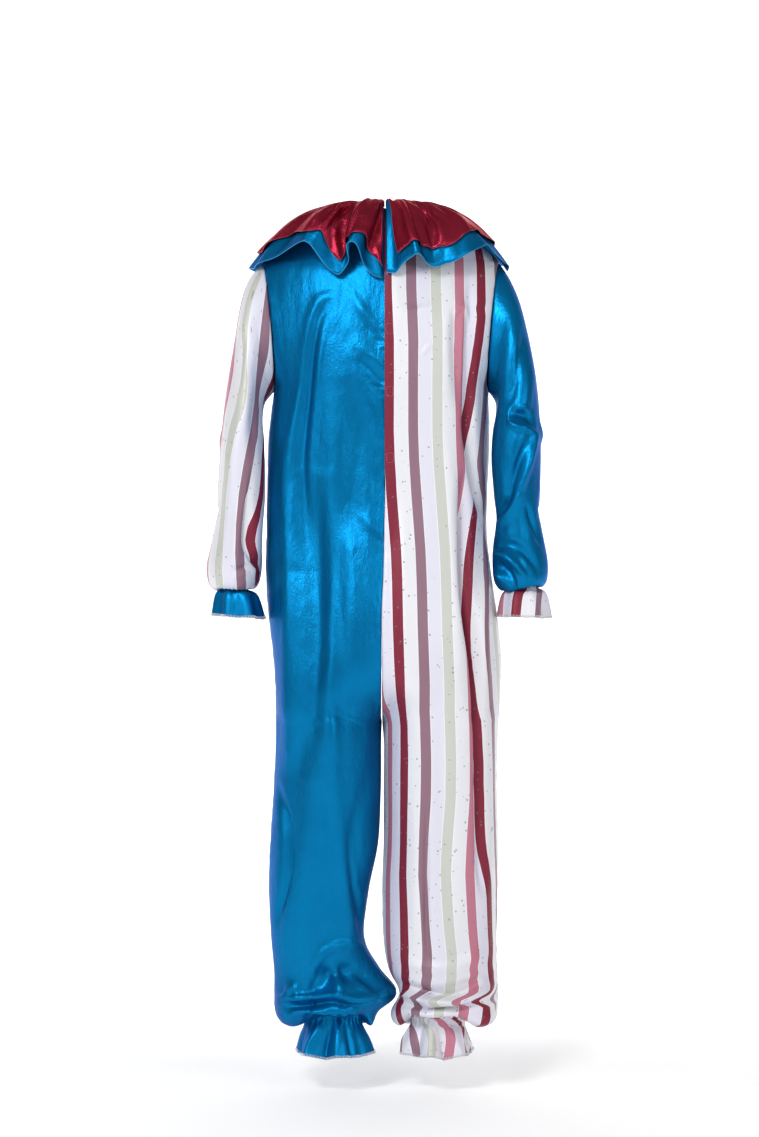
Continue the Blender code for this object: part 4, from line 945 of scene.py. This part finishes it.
def build_neckband():
    """The bias band that binds the neck: a wall round the neck seam with a rounded top, one profile carried round."""
    turn = np.linspace(COLLAR_HEM[0][0], COLLAR_HEM[-1][0], BAND_COLUMNS + 1)[None, :]
    rows = [neck_edge(turn[0], grow) * MM + [0, 0, height * MM] for grow, height, _ in BAND_PROFILE]
    points = np.stack(rows)[::-1]
    pucker = BAND_PUCKER[1] * np.sin(np.radians(turn[0]) * BAND_PUCKER[0]) * MM
    points[:, :, 2] += pucker[None, :] * np.array([share for *_, share in BAND_PROFILE[::-1]])[:, None]
    _, side = outwards(points, np.zeros(3))
    made = cloth("neckband_cloth", points, side, metre_uv(points), "burgundy")
    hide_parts("neckband")


# ------------------------------------------------------------------------------------------------ sewing, trimming
BOX_SIZE = (12, 17)  # mm
BOX_MIDDLES = [(7.5, -219), (7.5, -328), (8.5, -443)]  # x and z in mm
BOX_CORNER = 0.35  # power of the rounded rectangle: the smaller, the squarer
BOX_POINTS = 60
BOX_THREAD = 0.45 * MM
BOX_LIFT = 0.25 * MM  # off the cloth
NEARNESS_FLOOR = 1e-8  # m2, so that a point on the grid has no endless weight
OVERLOCK_PITCH = 2.6 * MM  # from one stitch to the next
OVERLOCK_POINTS = 8  # to a stitch
OVERLOCK_THICK = 1.2 * MM
OVERLOCK_TALL = 2.5 * MM
OVERLOCK_SINK = 0.6  # share of its height by which it sits up on the edge
OVERLOCK_THREAD = 0.55 * MM
TUBE_ASIDE = [0.13, 0.31, 0.94]  # a direction that no thread's path runs in


def tube(path, radius, sides=6):
    """A thread's grid: a circle of the given radius carried along a path of points, square to the path."""
    ahead = np.gradient(path, axis=0)
    ahead /= np.maximum(np.linalg.norm(ahead, axis=1, keepdims=True), 1e-9)
    aside = np.cross(ahead, TUBE_ASIDE)
    aside /= np.maximum(np.linalg.norm(aside, axis=1, keepdims=True), 1e-9)
    above = np.cross(aside, ahead)
    angle = np.linspace(0, 2 * np.pi, sides, endpoint=False)
    ring = aside[:, None] * np.cos(angle)[None, :, None] + above[:, None] * np.sin(angle)[None, :, None]
    return path[:, None] + ring * radius


def overlock(name, edge, outward, down):
    """The overlocked hem: a thread wound round the edge as a helix, out along the wall's normal and up and down it."""
    run = run_along(edge)
    at = np.linspace(0, run[-1], int(run[-1] / OVERLOCK_PITCH) * OVERLOCK_POINTS)
    line, out, low = (np.stack([np.interp(at, run, rows[:, k]) for k in range(3)], axis=1)
                      for rows in (edge, outward, down))
    phase = at / OVERLOCK_PITCH * 2 * np.pi
    lift = out * (np.sin(phase) * OVERLOCK_THICK)[:, None] + low * (np.cos(phase) * OVERLOCK_TALL)[:, None]
    rings = tube(line + lift - low * (OVERLOCK_TALL * OVERLOCK_SINK) - out * (CLOTH / 2), OVERLOCK_THREAD, sides=4)
    plain_mesh(name, rings, "thread", closed_across=True)


def overlock_row(name, points, closed=False):
    """The overlock along the last row of a grid of a wall's points."""
    facing = normals(points, closed)[-1]
    low = points[-1] - points[-2]
    low /= np.linalg.norm(low, axis=1, keepdims=True)
    edge = points[-1]
    if closed:
        edge, facing, low = (np.concatenate([rows, rows[:1]]) for rows in (edge, facing, low))
    sign = np.sign(np.mean(np.sum(facing * (edge - edge.mean(axis=0)), axis=1)))
    overlock(name, edge, facing * sign, low)


def cord_mesh(name, rings, colour):
    """A thin tube's rings as a piece of trim, in its cloth's slot: a rolled hem or a seam's thread."""
    uv = metre_uv(np.concatenate([rings, rings[:, :1]], axis=1))
    plain_mesh(name, rings, colour, closed_across=True, uv=uv)


def stitched_box(name, grid, middle):
    """The seam that holds a closure square: a rounded rectangle of thread on the striped edge over it."""
    wide, tall = BOX_SIZE
    turn = np.linspace(0, 2 * np.pi, BOX_POINTS + 1)
    x = middle[0] + wide / 2 * np.sign(np.cos(turn)) * np.abs(np.cos(turn)) ** BOX_CORNER
    z = middle[1] + tall / 2 * np.sign(np.sin(turn)) * np.abs(np.sin(turn)) ** BOX_CORNER
    path = on_wall(grid, x * MM, z * MM) - [0, BOX_LIFT, 0]
    cord_mesh(name, tube(path, BOX_THREAD, sides=5), "seam_thread")


def on_wall(grid, x, z):
    """Points of a wall at places seen square-on: the mean of its four nearest grid points, weighted by nearness."""
    flat = grid.reshape(-1, 3)
    gap = (flat[None, :, 0] - x[:, None]) ** 2 + (flat[None, :, 2] - z[:, None]) ** 2
    near = np.argsort(gap, axis=1)[:, :4]
    weight = 1 / (np.take_along_axis(gap, near, axis=1) + NEARNESS_FLOOR)
    y = np.sum(flat[near, 1] * weight, axis=1) / weight.sum(axis=1)
    return np.stack([x, y, z], axis=1)


def corners_of(grid):
    """The four corners of each cell between neighbours on a grid of numbers."""
    return np.stack([grid[:-1, :-1], grid[:-1, 1:], grid[1:, 1:], grid[1:, :-1]], axis=2).reshape(-1, 4)


def plain_mesh(name, points, colour, closed_across=False, uv=None):
    """A mesh of quads between neighbours on a grid of points, with smooth shading, riding on the garment."""
    rows, columns = points.shape[:2]
    index = np.arange(rows * columns).reshape(rows, columns)
    if closed_across:
        index = np.concatenate([index, index[:, :1]], axis=1)
    quads = corners_of(index)
    mesh = bpy.data.meshes.new(name)
    mesh.vertices.add(rows * columns)
    mesh.vertices.foreach_set("co", points.reshape(-1).astype(np.float32))
    mesh.loops.add(quads.size)
    mesh.loops.foreach_set("vertex_index", quads.reshape(-1).astype(np.int32))
    mesh.polygons.add(len(quads))
    mesh.polygons.foreach_set("loop_start", np.arange(0, quads.size, 4, dtype=np.int32))
    mesh.update(calc_edges=True)
    mesh.validate()
    mesh.shade_smooth()
    if uv is not None:
        mesh.uv_layers.new(name="cloth")
        flat = uv.reshape(-1, 2)
        grid = np.arange(len(flat)).reshape(uv.shape[:2])
        corners = corners_of(grid)
        mesh.uv_layers["cloth"].uv.foreach_set("vector", flat[corners.reshape(-1)].reshape(-1).astype(np.float32))
    mesh.materials.append(MATERIALS[colour])
    made = bpy.data.objects.new(name, mesh)
    bpy.context.scene.collection.objects.link(made)
    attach(made, BODY)
    return made


def cloth(name, points, turn, uv, colour, closed=False):
    """A satin wall: the grid with its faces outwards and Solidify on the inner side."""
    if turn < 0:
        points, uv = points[:, ::-1], uv[:, ::-1]
        if closed:
            points = np.roll(points, 1, axis=1)
    made = plain_mesh(name, points, colour, closed_across=closed, uv=uv)
    wall = made.modifiers.new("wall", "SOLIDIFY")
    wall.thickness = CLOTH
    wall.offset = -1
    return made


# ------------------------------------------------------------------------------------------------------ materials
def linear(code):
    """A linear RGBA colour from an sRGB hex code."""
    srgb = np.array([int(code[i:i + 2], 16) for i in (0, 2, 4)]) / 255
    rgb = np.where(srgb <= 0.04045, srgb / 12.92, ((srgb + 0.055) / 1.055) ** 2.4)
    return (*rgb.tolist(), 1.0)


def add(tree, kind, links=None, **settings):
    """Adds a node: "links" maps its input names or numbers to sockets or to constant values."""
    node = tree.nodes.new(kind)
    for name, value in settings.items():
        setattr(node, name, value)
    for name, source in (links or {}).items():
        if isinstance(source, bpy.types.NodeSocket):
            tree.links.new(source, node.inputs[name])
        else:
            node.inputs[name].default_value = source
    return node


def shader_material(name, roughness, metallic=0.0, specular=0.5, sheen=0.0, tint="FFFFFF"):
    """A Principled material with its constants set on the shader's own sockets."""
    made = bpy.data.materials.new(name)
    made.use_nodes = True
    tree = made.node_tree
    shader = tree.nodes["Principled BSDF"]
    shader.inputs["Roughness"].default_value = roughness
    shader.inputs["Metallic"].default_value = metallic
    shader.inputs["Specular IOR Level"].default_value = specular
    shader.inputs["Sheen Weight"].default_value = sheen
    shader.inputs["Specular Tint"].default_value = linear(tint)
    return made, tree, shader


# Relief of the cloth: (cells to a metre across and down, depth in m) of the satin's floats and of its soft crumple.
FLOATS = ((620, 300, 1), 0.0012)
CRUMPLE = ((80, 34, 1), 0.004)
CRUMPLE_SHARE = 0.8  # of the floats' strength
PLAIN_RELIEF, STRIPED_RELIEF = 0.42, 0.22


def satin_bump(tree, shader, uv, strength):
    """Woven satin as bump: the grain of its floats, longer down the cloth than across, over a soft crumple."""
    scaled = add(tree, "ShaderNodeMapping", {"Vector": uv, "Scale": FLOATS[0]})
    weave = add(tree, "ShaderNodeTexNoise", {"Vector": scaled.outputs[0], "Scale": 1.0, "Detail": 2.0})
    rubbed = add(tree, "ShaderNodeMapping", {"Vector": uv, "Scale": CRUMPLE[0]})
    crumple = add(tree, "ShaderNodeTexNoise", {"Vector": rubbed.outputs[0], "Scale": 1.0, "Detail": 3.0})
    first = add(tree, "ShaderNodeBump", {"Height": weave.outputs[0], "Strength": strength, "Distance": FLOATS[1]})
    second = add(tree, "ShaderNodeBump", {"Height": crumple.outputs[0], "Normal": first.outputs[0],
                                         "Strength": strength * CRUMPLE_SHARE, "Distance": CRUMPLE[1]})
    tree.links.new(second.outputs[0], shader.inputs["Normal"])


def colour_ramp(tree, shader, source, stops):
    """The shader's base colour from two hex codes at two places of a source's range."""
    ramp = add(tree, "ShaderNodeValToRGB", {"Fac": source})
    for element, (position, code) in zip(ramp.color_ramp.elements, stops):
        element.position, element.color = position, linear(code)
    tree.links.new(ramp.outputs[0], shader.inputs["Base Color"])


def plain_satin(name, colour, shade, metallic, specular, tint="FFFFFF", roughness=0.36):
    """Dyed polyester satin: its floats mirror light in the dye's own colour, so it is part metallic, and the dye
    lies a little unevenly. The eye sees deep colour in the folds and broad soft highlights on them."""
    made, tree, shader = shader_material(name, roughness, metallic, specular, tint=tint)
    uv = add(tree, "ShaderNodeUVMap", uv_map="cloth").outputs[0]
    uneven = add(tree, "ShaderNodeTexNoise", {"Vector": uv, "Scale": 9.0, "Detail": 3.0})
    colour_ramp(tree, shader, uneven.outputs[0], [(0.3, shade), (0.7, colour)])
    satin_bump(tree, shader, uv, PLAIN_RELIEF)
    return made


STRIPE_COLOURS = ["83283C", "927080", "C9CCC4", "C07A8E"]
# The white after each band: partly the cloth's own white, and the darker, more lavender ones are painted shade
# repeated with the print.
STRIPE_WHITES_WITH_PAINTED_SHADE = ["E6E6EC", "DFDEEB", "E4E4EA", "E0DEEC"]
BRIGHT_WHITE = "F0F0F4"
FLECK = "7E7A84"
FLECK_CELLS = 88.0  # to a metre
FLECK_PATCHES = 30.0  # cells to a metre of the unevenness of their size
FLECK_LIMIT, FLECK_SIZE = 0.2, 0.42  # unevenness from which there is a fleck, and how it grows from there
FLECK_STRENGTH = 0.6


def striped_satin():
    """White polyester satin printed with lengthwise bands in four colours, each with a brighter edge, and flecked
    with small faint grey marks from the distressed print. The eye sees flat print under a faint lustre."""
    made, tree, shader = shader_material("striped_polyester_satin_printed", 0.45, metallic=0.12, specular=0.25)
    uv = add(tree, "ShaderNodeUVMap", uv_map="cloth").outputs[0]
    u = add(tree, "ShaderNodeSeparateXYZ", {0: uv}).outputs[0]
    repeat = 4 * STRIPE_STEP * MM
    place = add(tree, "ShaderNodeMath", {0: u, 1: repeat}, operation="DIVIDE").outputs[0]
    place = add(tree, "ShaderNodeMath", {0: place}, operation="FRACT").outputs[0]
    ramp = add(tree, "ShaderNodeValToRGB", {"Fac": place})
    stops = []
    for k, (band, white) in enumerate(zip(STRIPE_COLOURS, STRIPE_WHITES_WITH_PAINTED_SHADE)):
        start, step = k / 4, 1 / 4
        width, edge = STRIPE_BAND / STRIPE_STEP / 4, STRIPE_EDGE / STRIPE_STEP / 4
        stops += [(start, band), (start + width, BRIGHT_WHITE), (start + width + edge, white),
                  (start + step - edge, BRIGHT_WHITE)]
    elements = ramp.color_ramp.elements
    ramp.color_ramp.interpolation = "CONSTANT"
    while len(elements) < len(stops):
        elements.new(1.0)
    for element, (position, code) in zip(elements, stops):
        element.position = position
        element.color = linear(code)
    flecks = add(tree, "ShaderNodeTexVoronoi", {"Vector": uv, "Scale": FLECK_CELLS, "Randomness": 1.0})
    size = add(tree, "ShaderNodeTexNoise", {"Vector": uv, "Scale": FLECK_PATCHES})
    limit = add(tree, "ShaderNodeMath", {0: size.outputs[0], 1: FLECK_LIMIT}, operation="SUBTRACT").outputs[0]
    limit = add(tree, "ShaderNodeMath", {0: limit, 1: FLECK_SIZE}, operation="MULTIPLY").outputs[0]
    mark = add(tree, "ShaderNodeMath", {0: flecks.outputs["Distance"], 1: limit}, operation="LESS_THAN").outputs[0]
    mark = add(tree, "ShaderNodeMath", {0: mark, 1: FLECK_STRENGTH}, operation="MULTIPLY").outputs[0]
    mixed = add(tree, "ShaderNodeMix", {0: mark, 6: ramp.outputs[0], 7: linear(FLECK)}, data_type="RGBA")
    tree.links.new(mixed.outputs[2], shader.inputs["Base Color"])
    satin_bump(tree, shader, uv, STRIPED_RELIEF)
    return made


def thread_material():
    """White spun polyester overlock thread: matt, a little grey from the twist."""
    made, tree, shader = shader_material("white_overlock_thread_spun", roughness=0.75, sheen=0.3)
    where = add(tree, "ShaderNodeTexCoord").outputs["Object"]
    twist = add(tree, "ShaderNodeTexNoise", {"Vector": where, "Scale": 500.0})
    colour_ramp(tree, shader, twist.outputs[0], [(0, "D2D4DE"), (1, "FAFAFC")])
    return made


def tape_material():
    """White hook-and-loop tape: a matt felt of tiny loops."""
    made, tree, shader = shader_material("white_hook_and_loop_tape_woven", roughness=0.9, sheen=0.5)
    where = add(tree, "ShaderNodeTexCoord").outputs["Object"]
    loops = add(tree, "ShaderNodeTexVoronoi", {"Vector": where, "Scale": 1400.0})
    colour_ramp(tree, shader, loops.outputs["Distance"], [(0, "F0F0F0"), (1, "C4C4C8")])
    bump = add(tree, "ShaderNodeBump", {"Height": loops.outputs["Distance"], "Strength": 0.6, "Distance": 0.0004})
    tree.links.new(bump.outputs[0], shader.inputs["Normal"])
    return made


PAPER_GLOW = 0.24


def studio_material(name, code):
    """Matt studio paper lit from behind, so that it stays white to its corners; clear when seen from behind."""
    made, tree, shader = shader_material(name, roughness=0.9)
    shader.inputs["Base Color"].default_value = linear(code)
    shader.inputs["Emission Color"].default_value = linear("FFFFFF")
    shader.inputs["Emission Strength"].default_value = PAPER_GLOW
    behind = add(tree, "ShaderNodeNewGeometry").outputs["Backfacing"]
    clear = add(tree, "ShaderNodeBsdfTransparent").outputs[0]
    mixed = add(tree, "ShaderNodeMixShader", {0: behind, 1: shader.outputs[0], 2: clear})
    tree.links.new(mixed.outputs[0], tree.nodes["Material Output"].inputs["Surface"])
    return made


# A plain satin's values: name, colour, its shade in the dye's darker patches, metallic, specular, tint, roughness.
MATERIALS = {
    "blue": plain_satin("blue_polyester_satin_woven", "0A7CB4", "0871A8", 0.72, 0.12, "2C86C0"),
    "burgundy": plain_satin("burgundy_polyester_satin_woven", "A82A42", "922238", 0.75, 0.3, "E08898", 0.24),
    # The two rolled-hem satins are lighter copies of the blue and the burgundy satin: a painted highlight along the
    # collar's hem and split.
    "blue_hem_painted_highlight": plain_satin("blue_polyester_satin_rolled_hem_painted_highlight", "3FA8DC", "2C96CE", 0.3, 0.4),
    "burgundy_hem_painted_highlight": plain_satin("burgundy_polyester_satin_rolled_hem_painted_highlight", "B03A50", "9A2E44", 0.3, 0.4),
    "seam_thread": plain_satin("burgundy_sewing_thread_twisted", "B8586C", "A84A60", 0.0, 0.3),
    "striped": striped_satin(),
    "thread": thread_material(),
    "tape": tape_material(),
}


# ------------------------------------------------------------------------------------------------------- the piece
# Flat sizes of the cloth that shows, across and down, in metres.
BACK_CUT, FRONT_CUT, SLEEVE_CUT, CUFF_CUT = (0.36, 1.56), (0.34, 1.56), (0.46, 0.56), (0.36, 0.07)


def build_garment():
    """All pieces: four body panels, two sleeves, two cuffs, the collar's two layers and its band."""
    backs, fronts = (ROW_STEP, BACK_COLUMNS, BACK_CUT), (FRONT_ROW_STEP, FRONT_COLUMNS, FRONT_CUT)
    body = {f"{colour}_{place}": build_panel(f"{colour}_{place}", side, face, colour, *grid)
            for place, face, grid in (("back", -1, backs), ("front", 1, fronts))
            for colour, side in (("blue", -1), ("striped", 1))}
    for name, points in body.items():
        overlock_row(f"overlock_{name}", points)
    build_sleeve("sleeve_left", LEFT_SLEEVE, "striped")
    build_sleeve("sleeve_right", RIGHT_SLEEVE, "blue")
    for half, rings, colour, stripe_from in (("left", LEFT_CUFF, "blue", 0.0), ("right", RIGHT_CUFF, "striped", 2.1)):
        cuff = build_cuff(f"cuff_{half}", rings, colour, stripe_from)
        overlock_row(f"overlock_cuff_{half}", cuff, closed=True)
    under, upper = build_collar()
    # The collar's hem tubes take the lighter rolled-hem satins, a painted highlight on the rolled edges.
    for name, edge, radius, colour in (("under", under[-1], 0.65, "blue_hem_painted_highlight"),
                                       ("upper", upper[-1], 0.55, "burgundy_hem_painted_highlight"),
                                       ("split", upper[:, 0], 0.5, "burgundy_hem_painted_highlight")):
        cord_mesh(f"hem_collar_{name}", tube(edge, radius * MM), colour)
    for number, middle in enumerate(BOX_MIDDLES, 1):
        stitched_box(f"stitched_box_{number}", body["striped_back"], middle)
    build_neckband()
    for number in (1, 2, 3):
        dress_patch(f"closure_patch_{number}")


def dress_patch(node):
    """A hook-and-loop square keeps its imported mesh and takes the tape's felt."""
    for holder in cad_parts[node].material_slots:
        holder.material = MATERIALS["tape"]


# ------------------------------------------------------------------------------------------- studio, light, camera
FLOOR_Z = -1.56
PAPER_WIDTH = 10.0
PAPER_PROFILE = [(-4.0, 0.0), (-1.0, 0.0), (1.5, 0.0), (2.2, 0.06), (2.7, 0.3), (3.0, 0.8), (3.1, 1.6), (3.1, 4.0)]
# Soft boxes: name, place, aimed at, side of the square in metres, and watts.
LIGHTS = [
    ("soft_box_high_left", (-1.5, -3.7, 1.7), (0, 0, -0.6), 1.1, 98),
    ("soft_box_left", (-2.9, -2.5, 0.1), (0, 0, -0.5), 1.0, 15),
    ("soft_box_right", (2.3, -3.2, 0.3), (0, 0, -0.75), 1.2, 32),
    ("backdrop_left", (-1.9, 0.9, 0.2), (-1.9, 3.1, -0.6), 2.0, 60),
    ("backdrop_right", (1.9, 0.9, 0.2), (1.9, 3.1, -0.6), 2.0, 60),
]
AIR_GLOW = 0.25
CAMERA_PLACE = (-0.0098, -5, -0.635)
LENS, SENSOR = 88.94, 36  # mm


def build_studio():
    """A white paper sweep: a floor that curves up into a wall behind the piece."""
    points = [(x, y, FLOOR_Z + z) for y, z in PAPER_PROFILE for x in (-PAPER_WIDTH / 2, PAPER_WIDTH / 2)]
    mesh = bpy.data.meshes.new("studio_sweep")
    faces = [(2 * k, 2 * k + 1, 2 * k + 3, 2 * k + 2) for k in range(len(PAPER_PROFILE) - 1)]
    mesh.from_pydata(points, [], faces)
    mesh.shade_smooth()
    mesh.materials.append(studio_material("white_studio_paper_matt", "F8F8F8"))
    made = bpy.data.objects.new("studio_sweep", mesh)
    bpy.context.scene.collection.objects.link(made)


def build_light(name, place, target, size, power):
    """A soft box: a square area light aimed at a point."""
    light = bpy.data.lights.new(name, "AREA")
    light.shape = "SQUARE"
    light.size = size
    light.energy = power
    made = bpy.data.objects.new(name, light)
    made.location = place
    made.rotation_euler = (Vector(target) - Vector(place)).to_track_quat("-Z", "Y").to_euler()
    bpy.context.scene.collection.objects.link(made)


def build_world(strength):
    """Even white light from all round."""
    world = bpy.data.worlds.new("studio_air")
    world.use_nodes = True
    sky = world.node_tree.nodes["Background"]
    sky.inputs[0].default_value = (1, 1, 1, 1)
    sky.inputs[1].default_value = strength
    bpy.context.scene.world = world


def build_camera():
    """A long lens level with the thighs, square on to the back."""
    lens = bpy.data.cameras.new("camera")
    lens.sensor_width = SENSOR
    lens.lens = LENS
    made = bpy.data.objects.new("camera", lens)
    made.location = CAMERA_PLACE
    made.rotation_euler = (np.pi / 2, 0, 0)
    bpy.context.scene.collection.objects.link(made)
    bpy.context.scene.camera = made


build_garment()
build_studio()
for light in LIGHTS:
    build_light(*light)
build_world(AIR_GLOW)
build_camera()
bpy.context.scene.view_settings.view_transform = "Standard"
